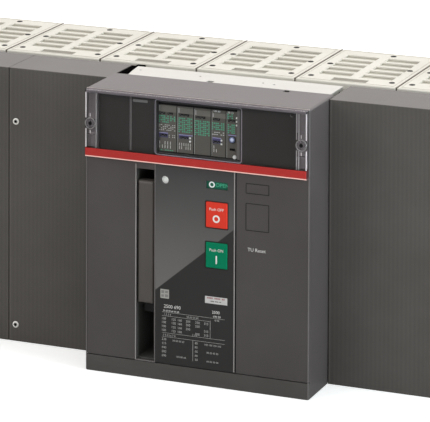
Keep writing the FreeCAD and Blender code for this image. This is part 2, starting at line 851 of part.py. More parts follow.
def button_opening(name, level, depth):
    """A button's opening in the centre plate."""
    return box(name, across(*about("button_across", "button_wide + 2 * button_gap")), depth,
               about(level, "button_high + 2 * button_gap"))


def flags():
    """The two flags: strips that slide up by half their height behind their windows."""
    for name, middle, half in flag_fields():
        strip = box(
            f"{name}_strip",
            across(*about(middle, f"2 * ({half} + flag_margin)")),
            back("plate_thick + seat_gap", "plate_thick + seat_gap + flag_thick"),
            ("window_level - 0.75 * flag_high", "window_level + 0.25 * flag_high"),
        )
        tab = box(
            f"{name}_tab",
            across(*about(middle, "2 * flag_margin + 2")),
            back("plate_thick + seat_gap", "plate_thick + seat_gap + flag_thick + 5"),
            ("window_level - 0.75 * flag_high", "window_level - 0.65 * flag_high"),
        )
        node(fuse(f"{name}_shape", strip, tab), name)


def push_button(name, level):
    """A push button: a head with soft edges and a stem that runs in the guide."""
    body = doc.addObject("PartDesign::Body", f"{name}_body")
    outline = plane_sketch(body, "XZ_Plane", f"{name}_outline")
    sketch_rectangle(outline, "button_wide", "button_high")
    head = pad(body, outline, "button_head")
    doc.recompute()
    soft = body.newObject("PartDesign::Fillet", f"{name}_edges")
    front = head.Shape.BoundBox.YMin
    edges = [
        f"Edge{number}" for number, edge in enumerate(head.Shape.Edges, 1)
        if runs(edge, "y") or edge.CenterOfMass.y < front + 0.01
    ]
    soft.Base = (head, edges)
    soft.setExpression("Radius", bound("button_round"))
    stem = plane_sketch(body, "XZ_Plane", f"{name}_stem")
    sketch_circle(stem, "button_stem")
    pad(body, stem, "button_head + button_stem_long").Label = f"{name}_stem_pad"
    place(body, f"{CENTRE} + button_across", f"{FRONT} - button_proud", level)
    node(body, name)


def button_guide():
    """The bracket behind the centre plate whose bores guide the button stems."""
    wide = about("button_across", "button_wide + 4 * guide_margin")
    tall = ("on_button_high - button_high / 2 - guide_margin",
            "off_button_high + button_high / 2 - guide_margin")
    block = box("guide_block", across(*wide),
                back("plate_thick + seat_gap", "guide_back + guide_thick"), tall)
    hollow = box(
        "guide_inside",
        across(f"{wide[0]} + guide_wall", f"{wide[1]} - guide_wall"),
        back(0, "guide_back"),
        (f"{tall[0]} - 1", f"{tall[1]} + 1"),
    )
    bores = [
        rod(f"guide_bore_{name}", "Y", back("guide_back - 1", "guide_back + guide_thick + 1"),
            (f"{CENTRE} + button_across", level), "button_stem + running_fit")
        for name, level in (("off", "off_button_high"), ("on", "on_button_high"))
    ]
    node(cut("button_guide_shape", block, hollow, *bores), "button_guide")


def coil(name, radius, wire, length, turns):
    """A coil spring along +Y from the origin: half rings, each leant so that it meets the next."""
    quarter = length / turns / 4
    lean = math.degrees(math.atan2(quarter, radius))
    halves = []
    for step in range(2 * turns):
        half = doc.addObject("Part::Torus", f"{name}_half_{step + 1}")
        half.Radius1, half.Radius2, half.Angle3 = math.hypot(radius, quarter), wire, 180
        sign = 1 if step % 2 == 0 else -1
        turned = Rotation(Vector(0, 1, 0), sign * lean) * Rotation(Vector(0, 0, 1), 0 if sign > 0 else 180)
        half.Placement = Placement(Vector(0, 0, (2 * step + 1) * quarter), turned)
        halves.append(half)
    spring = fuse(name, *halves)
    spring.Placement = Placement(Vector(), TURNS["Y"])
    return spring


def button_springs():
    """The return springs of the two push buttons, round their stems."""
    wire = size.get("spring_wire")
    start = size.get("button_head") - size.get("button_proud") + wire + size.get("seat_gap")
    length = size.get("guide_back") - wire - size.get("seat_gap") - start
    springs = []
    for name, level in (("off", "off_button_high"), ("on", "on_button_high")):
        spring = coil(f"{name}_button_spring", size.get("spring_coil"), wire, length, 4)
        place(spring, f"{CENTRE} + button_across",
              f"{FRONT} + button_head - button_proud + spring_wire + seat_gap", level)
        springs.append(spring)
    node(group("button_springs_shape", *springs), "button_springs")


def right_panel():
    """The blank for a key lock and the trip reset button, both held behind the face by a flange."""
    for name, level, high, deep in (
        ("key_lock_blank", "blank_level", "blank_high", "shield_wall + flange_thick"),
        ("trip_reset_button", "reset_level", "reset_high", "reset_deep"),
    ):
        plug = box(f"{name}_plug", across(*about("panel_across", "panel_piece_wide")), back(0, deep),
                   about(level, high))
        flange = box(
            f"{name}_flange",
            across(*about("panel_across", "panel_piece_wide + 2 * flange_out")),
            back("shield_wall + seat_gap", "shield_wall + seat_gap + flange_thick"),
            about(level, f"{high} + 2 * flange_out"),
        )
        node(fuse(f"{name}_shape", plug, flange), name)


# ---------------------------------------------------------------- charging lever and stored-energy drive


def lever_middle():
    """The lever's upright centre line."""
    return f"{CENTRE} + plate_left - channel_lip - channel_wide / 2"


def shaft_centre():
    """Y and Z of the cam shaft, on which the lever also turns."""
    return f"{FRONT} + shaft_back", "shaft_high"


def lever_channel():
    """The tray behind the lever's opening, with bores for the cam shaft."""
    wide = about(lever_middle(), "channel_wide + 2 * liner_wall")
    inside = about(lever_middle(), "channel_wide")
    block = box("channel_block", wide, back("shield_wall + seat_gap", "channel_deep"),
                ("channel_base", "channel_top + liner_wall"))
    hollow = box("channel_inside", inside, back(0, "channel_deep - liner_wall"),
                 ("channel_base + liner_wall", "channel_top"))
    bore = rod("channel_bore", "X", (f"{wide[0]} - 1", f"{wide[1]} + 1"), shaft_centre(),
               "cam_shaft_radius + running_fit")
    node(cut("lever_channel_shape", block, hollow, bore), "lever_channel")


def charging_lever():
    """The lever: a flat grip, a web and a hub that turns freely on the cam shaft."""
    wide = "channel_wide - 2 * lever_gap"
    x = about(lever_middle(), wide)
    grip = box("lever_grip", x, back("lever_inset", "lever_inset + lever_thick"), ("lever_base", "lever_top"))
    soft = rounded("lever_soft_grip", grip, "lever_round",
                   lambda edge, middle, bounds: runs(edge, "z") or runs(edge, "x"))
    web = box("lever_web_block", about(lever_middle(), "lever_web"),
              back("lever_inset + lever_thick - 2", "shaft_back"),
              ("lever_base", "lever_base + lever_web_high"))
    toe = box("lever_toe", about(lever_middle(), "lever_web"),
              back("lever_inset + lever_thick - 2", "shaft_back"),
              ("shaft_high - hub_radius / 2", "lever_base + 1"))
    hub = rod("lever_hub", "X", x, shaft_centre(), "hub_radius")
    bore = rod("lever_bore", "X", (f"{x[0]} - 1", f"{x[1]} + 1"), shaft_centre(),
               "cam_shaft_radius + running_fit")
    finger = box("lever_finger_groove", about(lever_middle(), f"{wide} - 5"),
                 back("lever_inset + 4", "lever_inset + lever_thick + 1"),
                 ("lever_base + lever_web_high + 6", "lever_top - 4"))
    solid = fuse("lever_solid", soft, web, toe, hub)
    node(cut("charging_lever_shape", solid, bore, finger), "charging_lever")


def cam_profile():
    """The cam: a radius that grows evenly over its rise and rests at its lowest over its dwell."""
    low, lift = size.get("cam_low"), size.get("cam_lift")
    rise, dwell = size.get("cam_rise"), size.get("cam_dwell")

    def point(angle, radius):
        turned = math.radians(angle)
        return Vector(0, radius * math.cos(turned), radius * math.sin(turned))

    steps = 18
    climb = Part.BSplineCurve()
    climb.interpolate([point(-rise * step / steps, low + lift * step / steps) for step in range(steps + 1)])
    drop = Part.LineSegment(point(-rise, low + lift), point(dwell, low))
    rest = Part.Arc(point(dwell, low), point(dwell / 2, low), point(0, low))
    return Part.Wire([climb.toShape(), drop.toShape(), rest.toShape()])


def ratchet_profile():
    """The ratchet wheel's outline: saw teeth round a circle."""
    radius, tooth = size.get("ratchet_radius"), size.get("ratchet_tooth")
    teeth = 16
    points = []
    for step in range(teeth):
        for share, reach in ((0.0, radius), (0.06, radius - tooth), (0.95, radius - 0.1)):
            turned = 2 * math.pi * (step + share) / teeth
            points.append(Vector(0, reach * math.cos(turned), reach * math.sin(turned)))
    return Part.makePolygon(points + points[:1])


def cam_shaft():
    """The cam shaft with its cam and its ratchet wheel."""
    start = about(lever_middle(), "channel_wide + 2 * liner_wall")[0]
    end = f"{CENTRE} + frame_right"
    shaft = rod("cam_shaft_bar", "X", (start, end), shaft_centre(), "cam_shaft_radius")
    discs = []
    for name, profile, middle, thick in (
        ("cam", cam_profile(), "cam_across", "cam_thick"),
        ("ratchet", ratchet_profile(), "ratchet_across", "ratchet_thick"),
    ):
        disc = doc.addObject("Part::Feature", f"{name}_disc")
        disc.Shape = Part.Face(profile).extrude(Vector(size.get(thick), 0, 0))
        place(disc, f"{CENTRE} + {middle} - {thick} / 2", *shaft_centre())
        discs.append(disc)
    node(fuse("cam_shaft_shape", shaft, *discs), "cam_shaft")


def carriage_front():
    """How far back the cam roller's axis lies at rest."""
    return "shaft_back + cam_low + cam_gap + roller_radius"


def spring_carriage():
    """The carriage that the cam pushes back: roller, yoke and guide rod."""
    axis = carriage_front()
    middle = f"{CENTRE} + cam_across"
    roller = rod("carriage_roller", "X", about(middle, "cam_thick"), (f"{FRONT} + {axis}", "shaft_high"),
                 "roller_radius")
    pin = rod("carriage_pin", "X", about(middle, "yoke_wide"), (f"{FRONT} + {axis}", "shaft_high"),
              "roller_radius / 2")
    cheeks = [
        box(f"carriage_cheek_{side}",
            about(f"{middle} + ({sign}) * (yoke_wide / 2 - 2)", "4"),
            back(f"{axis} - roller_radius / 2", f"{axis} + roller_radius + 2"),
            about("shaft_high", "yoke_high - 8"))
        for side, sign in (("left", -1), ("right", 1))
    ]
    yoke = box("carriage_yoke", about(middle, "yoke_wide"),
               back(f"{axis} + roller_radius + 1", f"{axis} + roller_radius + 1 + yoke_deep"),
               about("shaft_high", "yoke_high"))
    guide = rod("carriage_rod", "Y", back(f"{axis} + roller_radius + 2",
                                          f"{axis} + roller_radius + 1 + yoke_deep + guide_rod_long"),
                (middle, "shaft_high"), "guide_rod")
    node(fuse("spring_carriage_shape", roller, pin, *cheeks, yoke, guide), "spring_carriage")


def spring_seat():
    """How far back the closing spring's front end lies at rest."""
    return f"{carriage_front()} + roller_radius + 1 + yoke_deep"


def closing_spring():
    """The closing spring between the carriage and the abutment."""
    wire = size.get("main_spring_wire")
    length = size.get("main_spring_long") - 2 * wire - 2 * size.get("seat_gap")
    spring = coil("closing_spring_coil", size.get("main_spring_coil"), wire, length, 7)
    place(spring, f"{CENTRE} + cam_across", f"{FRONT} + {spring_seat()} + main_spring_wire + seat_gap",
          "shaft_high")
    node(spring, "closing_spring")


def mechanism_frame():
    """The two upright plates of the drive, the spring's abutment between them and their tie rods."""
    foot = "floor_sheet + seat_gap"
    leaves = []
    for side in ("left", "right"):
        outer = f"frame_{side}"
        x = (f"{CENTRE} + {outer}", f"{CENTRE} + {outer} + ({'1' if side == 'left' else '-1'}) * frame_sheet")
        x = x if side == "left" else x[::-1]
        leaves.append(box(f"frame_leaf_{side}", x, back("frame_front", "cross_back - seat_gap"),
                          (foot, "frame_neck")))
        leaves.append(box(f"frame_neck_{side}", x, back("frame_neck_front", "frame_neck_back"),
                          ("frame_neck - 1", "tray_top - tray_sheet - seat_gap")))
    inner = across("frame_left + frame_sheet - 1", "frame_right - frame_sheet + 1")
    wall = f"{spring_seat()} + main_spring_long"
    abutment = box("frame_abutment", inner, back(wall, f"{wall} + abutment_thick"),
                   ("pole_shaft_high + pole_shaft_radius + 1", "shaft_high + 1.3 * yoke_high"))
    ties = [
        rod(f"frame_tie_{number}", "X", inner, (f"{FRONT} + {y}", z), "tie_rod")
        for number, (y, z) in enumerate((("frame_front + 60", "frame_neck - 12"),
                                         ("frame_front + 12", "floor_sheet + 15"),
                                         ("frame_neck_back - 12", "tray_top - 22")), 1)
    ]
    bores = [
        rod("frame_cam_bore", "X", across("frame_left - 1", "frame_right + 1"), shaft_centre(),
            "cam_shaft_radius + running_fit"),
        rod("frame_shaft_bore", "X", across("frame_left - 1", "frame_right + 1"), pole_shaft_centre(),
            "pole_shaft_radius + running_fit"),
        rod("frame_guide_bore", "Y", back(f"{wall} - 1", f"{wall} + abutment_thick + 1"),
            (f"{CENTRE} + cam_across", "shaft_high"), "guide_rod + running_fit"),
    ]
    solid = fuse("frame_solid", *leaves, abutment, *ties)
    node(cut("mechanism_frame_shape", solid, *bores), "mechanism_frame")


# ---------------------------------------------------------------- pole shaft, links and contacts


def pole_shaft_centre():
    """Y and Z of the pole shaft."""
    return f"{FRONT} + pole_shaft_back", "pole_shaft_high"


CRANK_REACH = "(drive_reach * sin(contact_swing / 2) / sin(shaft_turn / 2))"


def crank_pin_centre():
    """Y and Z of the crank pins while the contacts are open."""
    return (f"{FRONT} + pole_shaft_back - {CRANK_REACH} * sin(shaft_turn / 2)",
            f"pole_shaft_high + {CRANK_REACH} * cos(shaft_turn / 2)")


def contact_pivot():
    """Y and Z of the moving contacts' pivot."""
    return f"{FRONT} + contact_pivot_back", "contact_pivot_high"


def pole_shaft():
    """The shaft across all poles, with a pair of crank cheeks and a pin at each pole."""
    ends = (f"seat_gap - ({HALF_WIDE} - end_plate)", f"{HALF_WIDE} - end_plate - seat_gap")
    pieces = [rod("pole_shaft_bar", "X", ends, pole_shaft_centre(), "pole_shaft_radius")]
    for number, pole in enumerate(POLES, 1):
        cheeks = []
        for side, sign in (("left", -1), ("right", 1)):
            span = about(f"({sign}) * (link_half + seat_gap + crank_thick / 2)", "crank_thick")
            arm = box(f"crank_{number}_{side}", span, ("-crank_half", "crank_half"), ("0", CRANK_REACH))
            tip = rod(f"crank_tip_{number}_{side}", "X", span, ("0", CRANK_REACH), "crank_half")
            cheeks += [arm, tip]
        pin = rod(f"crank_pin_{number}", "X", about("0", "2 * (link_half + crank_thick)"), ("0", CRANK_REACH),
                  "drive_pin")
        crank = fuse(f"crank_{number}", *cheeks, pin)
        pieces.append(turn(crank, "shaft_turn / 2", f"({pole}) * 2 * module_pitch", *pole_shaft_centre()))
    node(fuse("pole_shaft_shape", *pieces), "pole_shaft")


def coupling_links():
    """The links from the crank pins to the moving contacts, one to a pole, with a loose rear eye."""
    crank_y, crank_z = crank_pin_centre()
    rise = f"(contact_pivot_high + drive_reach * cos(contact_swing / 2) - ({crank_z}))"
    run = f"(contact_pivot_back - drive_reach * sin(contact_swing / 2) - ({crank_y} - ({FRONT})))"
    long = f"sqrt({rise} ^ 2 + {run} ^ 2)"
    eye = "drive_pin + link_slack"
    links = []
    for number, pole in enumerate(POLES, 1):
        x = ("-link_half", "link_half")
        strap = box(f"link_strap_{number}", x, ("0", long), about("0", "link_wide"))
        front = rod(f"link_front_{number}", "X", x, ("0", "0"), "drive_pin + 4")
        rear = rod(f"link_rear_{number}", "X", x, (long, "0"), f"{eye} + 4")
        holes = [
            rod(f"link_front_hole_{number}", "X", ("-link_half - 1", "link_half + 1"), ("0", "0"),
                "drive_pin + running_fit"),
            rod(f"link_rear_hole_{number}", "X", ("-link_half - 1", "link_half + 1"), (long, "0"), eye),
        ]
        link = cut(f"link_{number}", fuse(f"link_solid_{number}", strap, front, rear), *holes)
        links.append(turn(link, f"atan({rise} / {run})", f"({pole}) * 2 * module_pitch", crank_y, crank_z))
    node(group("coupling_links_shape", *links), "coupling_links")


def moving_contact(number, pole):
    """One pole's moving contact: pivot pin, carrier, drive lugs with their pin, and eight fingers."""
    half_pole = "module_pitch - chute_gap / 2 - housing_wall / 2"
    pin = rod(f"contact_pin_{number}", "X", (f"-({half_pole})", half_pole), ("0", "0"), "pivot_pin")
    carrier = box(f"contact_carrier_{number}", ("-carrier_half", "carrier_half"),
                  about("0", "carrier_thick"), ("-carrier_drop", "carrier_top"))
    lugs = []
    for side, sign in (("left", -1), ("right", 1)):
        span = about(f"({sign}) * (link_half + seat_gap + crank_thick / 2)", "crank_thick")
        lugs.append(box(f"contact_lug_{number}_{side}", span, ("-crank_half", "crank_half"),
                        ("carrier_top - 1", "drive_reach")))
        lugs.append(rod(f"contact_lug_end_{number}_{side}", "X", span, ("0", "drive_reach"), "crank_half"))
    drive = rod(f"contact_drive_pin_{number}", "X", about("0", "2 * (link_half + crank_thick)"),
                ("0", "drive_reach"), "drive_pin")
    fingers = []
    for sign in (-1, 1):
        for step in range(4):
            tag = f"{number}_{'left' if sign < 0 else 'right'}_{step + 1}"
            span = about(f"({sign}) * (finger_first + {step} * finger_pitch)", "finger_wide")
            fingers.append(box(f"finger_{tag}", span, about("0", "finger_thick"),
                               ("carrier_top - 1", "contact_reach")))
            fingers.append(box(f"finger_pad_{tag}", span, ("0", "finger_thick / 2 + pad_out"),
                               ("contact_reach - pad_high", "contact_reach")))
    whole = fuse(f"moving_contact_{number}_shape", pin, carrier, *lugs, drive, *fingers)
    turn(whole, "contact_swing / 2", f"({pole}) * 2 * module_pitch", *contact_pivot())
    node(whole, f"moving_contact_{number}")


def fixed_contact_front():
    """How far back the fixed contacts' faces lie: where the closed pads end, and a small gap."""
    return ("contact_pivot_back + contact_reach * sin(contact_swing / 2)"
            " + (finger_thick / 2 + pad_out) * cos(contact_swing / 2) + contact_gap")


def terminal_bars(name, front, level, contact):
    """The six rear bars at one level, each with two bolt holes, and a contact block if it has one."""
    bars = []
    for number, module in enumerate(MODULES, 1):
        middle = f"({module}) * module_pitch"
        tag = f"{name}_{number}"
        bar = box(f"{tag}_bar", about(middle, "bar_wide"), back(front, "rear_reach"),
                  (level, f"{level} + bar_thick"))
        solid = bar
        if contact:
            block = box(
                f"{tag}_contact",
                about(middle, "bar_wide"),
                back(front, f"{front} + fixed_contact_thick"),
                about("contact_pivot_high + contact_reach * cos(contact_swing / 2) - pad_high / 2",
                      "fixed_contact_high"),
            )
            solid = fuse(f"{tag}_solid", bar, block)
        holes = [
            rod(f"{tag}_hole_{end}", "Z", (f"{level} - 1", f"{level} + bar_thick + 1"),
                (f"{middle} + ({shift}) * terminal_hole_pitch / 2",
                 f"{FRONT} + rear_reach - terminal_hole_inset"),
                "terminal_hole")
            for end, shift in (("near", -1), ("far", 1))
        ]
        bars.append(cut(f"{tag}_drilled", solid, *holes))
    node(group(f"{name}_shape", *bars), name)


def braids_and_sensors():
    """The flexible leaves between carriers and lower bars, and a current sensor round each lower bar pair."""
    leaves = []
    rings = []
    front = "contact_pivot_back + carrier_thick / 2 * cos(contact_swing / 2) + 3.2"
    for module in MODULES:
        middle = f"({module}) * module_pitch"
        for step in range(4):
            leaves.append(box(
                f"braid_leaf_{len(leaves) + 1}",
                about(middle, "bar_wide - 10"),
                back(front, "lower_bar_front - seat_gap"),
                (f"lower_bar_high + {step} * braid_pitch",
                 f"lower_bar_high + {step} * braid_pitch + braid_leaf"),
            ))
        depth = back("sensor_back", "sensor_back + sensor_deep")
        level = "lower_bar_high + bar_thick / 2"
        ring = box(f"sensor_block_{module}",
                   about(middle, "bar_wide + 2 * sensor_gap + 2 * sensor_rim"), depth,
                   about(level, "bar_thick + 2 * sensor_gap + 2 * sensor_rim"))
        hole = box(f"sensor_hole_{module}", about(middle, "bar_wide + seat_gap"),
                   back("sensor_back - 1", "sensor_back + sensor_deep + 1"),
                   about(level, "bar_thick + seat_gap"))
        rings.append(cut(f"sensor_ring_{len(rings) + 1}", ring, hole))
    node(group("flexible_braids_shape", *leaves), "flexible_braids")
    node(group("current_sensors_shape", *rings), "current_sensors")


def pole_housing(number, pole):
    """One pole's moulded housing: a box open at its top, with openings for link, pin and terminal bars."""
    middle = f"({pole}) * 2 * module_pitch"
    outer_x = about(middle, "2 * module_pitch - chute_gap")
    inner_x = about(middle, "2 * module_pitch - chute_gap - 2 * housing_wall")
    outer = box(f"housing_block_{number}", outer_x,
                back("housing_front + seat_gap", "housing_back - seat_gap"), ("0", HOUSING_TOP))
    inner = box(f"housing_inside_{number}", inner_x,
                back("housing_front + seat_gap + housing_wall", "housing_back - seat_gap - housing_wall"),
                ("housing_wall", f"{HOUSING_TOP} + 1"))
    slot = box(f"housing_slot_{number}", about(middle, "slot_wide"),
               back("housing_front - 1", "housing_front + housing_wall + 1"), ("slot_base", "slot_top"))
    bore = rod(f"housing_bore_{number}", "X",
               about(middle, "2 * (module_pitch - chute_gap / 2 - housing_wall / 2 + seat_gap)"),
               contact_pivot(), "pivot_pin + running_fit")
    windows = []
    for side, sign in (("left", -0.5), ("right", 0.5)):
        for name in ("upper", "lower"):
            windows.append(box(
                f"housing_{name}_window_{number}_{side}",
                about(f"({2 * pole + sign}) * module_pitch", "bar_wide + 2 * seat_gap"),
                back("housing_back - housing_wall - 1", "housing_back + 1"),
                about(f"{name}_bar_high + bar_thick / 2", "bar_thick + 2 * seat_gap"),
            ))
    shell = cut(f"housing_shell_{number}", outer, inner)
    node(cut(f"pole_housing_{number}_shape", shell, slot, bore, *windows), f"pole_housing_{number}")


# ---------------------------------------------------------------- arc chutes


def chute_screw_spots(middle):
    """X and Y of one chute's five screws: four beside the vents and one at the rear."""
    near, far = f"{middle} - chute_screw_across", f"{middle} + chute_screw_across"
    rows = (
        ("chute_screw_front", (near, far)),
        ("chute_screw_middle", (near, far)),
        ("chute_screw_rear", (f"{middle} + chute_screw_aside",)),
    )
    return [(x, f"{FRONT} + housing_front + {row}") for row, spots in rows for x in spots]


def arc_chute(number, module):
    """One arc chute: a lid with ten vents and a label recess, a rim, and a skirt open at its foot."""
    middle = f"({module}) * module_pitch"
    rim = f"{HOUSING_TOP} + seat_gap"
    lid = "chute_top - chute_lid"
    block = box(f"chute_block_{number}", about(middle, "module_pitch - chute_gap"),
                back("housing_front", "housing_back"), (rim, "chute_top"))
    soft = rounded(f"chute_soft_block_{number}", block, "chute_round",
                   lambda edge, middle_of, bounds: runs(edge, "z") or middle_of.z > bounds.ZMax - 0.1)
    skirt_y = back("housing_front + skirt_inset", "housing_back - skirt_inset")
    skirt = box(f"chute_skirt_{number}", about(middle, "skirt_wide"), skirt_y,
                ("skirt_base", "chute_top - 2"))
    inside = box(
        f"chute_inside_{number}",
        about(middle, "skirt_wide - 2 * chute_wall"),
        back("housing_front + skirt_inset + chute_wall", "housing_back - skirt_inset - chute_wall"),
        ("skirt_base - 1", lid),
    )
    vents = []
    for step in range(5):
        start = f"housing_front + vent_first + {step} * vent_pitch"
        for side in (-1, 1):
            vents.append(box(
                f"chute_{number}_vent_{len(vents) + 1}",
                about(f"{middle} + ({side}) * vent_across", "vent_wide"),
                back(*about(start, "vent_deep")),
                (f"{lid} - 1", "chute_top + 1"),
            ))
    label = box(f"chute_label_{number}", about(middle, "label_wide"),
                back(*about("housing_front + label_back", "label_deep")),
                ("chute_top - label_sunk", "chute_top + 1"))
    holes = [
        rod(f"chute_{number}_hole_{step}", "Z", ("chute_top - chute_screw_long - 1", "chute_top + 1"), spot,
            "chute_screw_radius + seat_gap / 2")
        for step, spot in enumerate(chute_screw_spots(middle), 1)
    ]
    solid = fuse(f"chute_solid_{number}", soft, skirt)
    node(cut(f"arc_chute_{number}_shape", solid, inside, *vents, label, *holes), f"arc_chute_{number}")


def chute_contents():
    """The screws, the vent screens and the splitter plates of all chutes."""
    screws = []
    screens = []
    plates = []
    for module in MODULES:
        middle = f"({module}) * module_pitch"
        for x, y in chute_screw_spots(middle):
            tag = len(screws) + 1
            pin = rod(f"chute_screw_pin_{tag}", "Z",
                      ("chute_top - chute_screw_long", "chute_top - chute_screw_sunk"), (x, y),
                      "chute_screw_radius")
            socket = box(f"chute_screw_slot_{tag}", about(x, "0.8"), about(y, "8"),
                         ("chute_top - chute_screw_sunk - 0.8", "chute_top"))
            screws.append(cut(f"chute_screw_{tag}", pin, socket))
        wide = about(middle, "skirt_wide - 2 * chute_wall - 2 * seat_gap")
        screens.append(box(
            f"vent_screen_{len(screens) + 1}",
            about(middle, "2 * (chute_screw_across - chute_screw_radius - 1)"),
            back("housing_front + vent_first - vent_deep",
                 "housing_front + vent_first + 4 * vent_pitch + vent_deep"),
            ("chute_top - chute_lid - seat_gap - screen_thick", "chute_top - chute_lid - seat_gap"),
        ))
        for step in range(9):
            start = f"housing_front + skirt_inset + chute_wall + 8 + {step} * splitter_pitch"
            plates.append(box(
                f"splitter_plate_{len(plates) + 1}",
                wide,
                back(start, f"{start} + splitter_thick"),
                ("skirt_base + 6", "chute_top - splitter_drop"),
            ))
    node(group("chute_screws_shape", *screws), "chute_screws")
    node(group("vent_screens_shape", *screens), "vent_screens")
    node(group("splitter_plates_shape", *plates), "splitter_plates")


# ---------------------------------------------------------------- top tray, base and frames


def terminal_tray():
    """The pale sheet behind the shield's top: a plate with turned-down right and rear edges."""
    left, right = "(tray_left_inset - shield_wide / 2)", "(shield_wide / 2 - tray_right_inset)"
    depth = back("shield_deep + seat_gap", "cover_back")
    sheet = box("tray_plate", across(left, right), depth, ("tray_top - tray_sheet", "tray_top"))
    edge = box("tray_right_edge", across(f"{right} - tray_sheet", right), depth,
               ("tray_top - tray_flange", "tray_top"))
    rear = box("tray_rear_edge", across(left, right), back("cover_back - tray_sheet", "cover_back"),
               ("tray_top - tray_flange", "tray_top"))
    corner = doc.addObject("Part::Wedge", "tray_corner_wedge")
    for side, expression in (
        ("Xmin", "0"), ("Xmax", "tray_corner"), ("X2min", "0"), ("X2max", "0.01"),
        ("Ymin", "0"), ("Ymax", "cover_back - shield_deep - tray_sheet"),
        ("Zmin", "0"), ("Zmax", "tray_flange + 2"), ("Z2min", "0"), ("Z2max", "tray_flange + 2"),
    ):
        corner.setExpression(side, bound(expression))
    place(corner, f"{CENTRE} + {left} - 0.005", f"{FRONT} + shield_deep", "tray_top - tray_flange - 1")
    holes = [
        rod(f"tray_hole_{number}", "Z", ("tray_top - tray_sheet - 1", "tray_top + 1"),
            (f"{CENTRE} + {x}", f"{FRONT} + shield_deep + {y}"), "tray_hole")
        for number, (x, y) in enumerate(((f"{right} - 92", "33"), (f"{right} - 77", "30.5"),
                                         (f"{left} + 12", "38"), (f"{left} + 90", "35.5")), 1)
    ]
    notch = box("tray_notch", across(f"{left} + 107", f"{left} + 115"),
                back("shield_deep", "shield_deep + 19"), ("tray_top - tray_sheet - 1", "tray_top + 1"))
    side_hole = rod("tray_side_hole", "X", across(f"{right} - tray_sheet - 1", f"{right} + 1"),
                    (f"{FRONT} + cover_back - 14", "tray_top - 5"), "tray_hole")
    node(cut("terminal_tray_shape", fuse("tray_solid", sheet, edge, rear), corner, *holes, notch, side_hole),
         "terminal_tray")


def base_and_cross_frame():
    """The floor sheet under the drive and the upright sheet in front of the pole housings."""
    half = f"({HALF_WIDE} - 2 * end_plate - seat_gap)"
    floor = box("floor_main", (f"-{half}", half),
                back("cover_setback + cover_wall + seat_gap", "cross_back + cross_sheet"),
                ("0", "floor_sheet"))
    tongue = box(
        "floor_tongue",
        across("shield_wall + seat_gap - shield_wide / 2", "shield_wide / 2 - shield_wall - seat_gap"),
        back("shield_wall + seat_gap", "cover_setback + cover_wall + 1"),
        ("0", "floor_sheet"),
    )
    node(fuse("base_tray_shape", floor, tongue), "base_tray")
    sheet = box("cross_sheet_block", (f"-{half}", half), back("cross_back", "cross_back + cross_sheet"),
                ("floor_sheet", HOUSING_TOP))
    slots = [
        box(f"cross_slot_{number}", about(f"({pole}) * 2 * module_pitch", "slot_wide"),
            back("cross_back - 1", "cross_back + cross_sheet + 1"), ("slot_base", "slot_top"))
        for number, pole in enumerate(POLES, 1)
    ]
    node(cut("cross_frame_shape", sheet, *slots), "cross_frame")


def side_frames():
    """The end plates: leaves inside the covers with the pole shaft's bearing, a rear leaf and a flange."""
    outer, middle, inner = HALF_WIDE, f"({HALF_WIDE} - end_plate)", f"({HALF_WIDE} - 2 * end_plate)"
    for side, sign in (("left", -1), ("right", 1)):

        def span(near, far, sign=sign):
            return (f"-{far}", f"-{near}") if sign < 0 else (near, far)

        front = box(f"side_front_leaf_{side}", span(inner, middle),
                    back("cover_setback + cover_wall + seat_gap", "cover_back + seat_gap"),
                    ("0", f"{COVER_TOP} - cover_wall - seat_gap"))
        step = box(f"side_middle_leaf_{side}", span(inner, middle),
                   back("cover_back", "housing_front - seat_gap"), ("0", HOUSING_TOP))
        rear = box(f"side_rear_leaf_{side}", span(middle, outer),
                   back("cover_back + seat_gap", "housing_back + seat_gap + end_plate"), ("0", HOUSING_TOP))
        flange = box(f"side_flange_{side}", span(f"({HALF_WIDE} - side_flange_wide)", outer),
                     back("housing_back + seat_gap", "housing_back + seat_gap + end_plate"),
                     ("0", HOUSING_TOP))
        bore = rod(f"side_bore_{side}", "X", span(f"({HALF_WIDE} - 2 * end_plate - 1)", middle),
                   pole_shaft_centre(), "pole_shaft_radius + running_fit")
        holes = [
            rod(f"side_hole_{side}_{end}", "Y",
                back("housing_back - 1", "housing_back + seat_gap + end_plate + 1"),
                (f"({sign}) * ({HALF_WIDE} - side_flange_inset)", level), "fixing_hole")
            for end, level in (("low", "fixing_low"), ("high", "fixing_low + fixing_spacing"))
        ]
        solid = fuse(f"side_solid_{side}", front, step, rear, flange)
        node(cut(f"side_frame_{side}_shape", solid, bore, *holes), f"side_frame_{side}")


# ---------------------------------------------------------------- build, check and write


def build():
    """Make every sub-part."""
    front_shield()
    plinth_strip()
    covers()
    module_tray()
    module_blanks()
    trip_unit()
    window_cover()
    centre_plate()
    flags()
    push_button("off_button", "off_button_high")
    push_button("on_button", "on_button_high")
    button_guide()
    button_springs()
    right_panel()
    lever_channel()
    charging_lever()
    cam_shaft()
    spring_carriage()
    closing_spring()
    mechanism_frame()
    pole_shaft()
    coupling_links()
    for number, pole in enumerate(POLES, 1):
        moving_contact(number, pole)
        pole_housing(number, pole)
    terminal_bars("upper_terminals", fixed_contact_front(), "upper_bar_high", True)
    terminal_bars("lower_terminals", "lower_bar_front", "lower_bar_high", False)
    braids_and_sensors()
    for number, module in enumerate(MODULES, 1):
        arc_chute(number, module)
    chute_contents()
    terminal_tray()
    base_and_cross_frame()
    side_frames()


def check():
    """Stop on any failed object or unsound shape."""
    doc.recompute()
    failed = [thing.Name for thing in doc.Objects if {"Invalid", "Error"} & set(thing.State)]
    if failed:
        raise RuntimeError(f"failed objects: {failed}")
    for shape in NODES:
        if shape.Shape.isNull() or not shape.Shape.isValid() or not shape.Shape.Solids:
            raise RuntimeError(f"unsound shape: {shape.Label}")


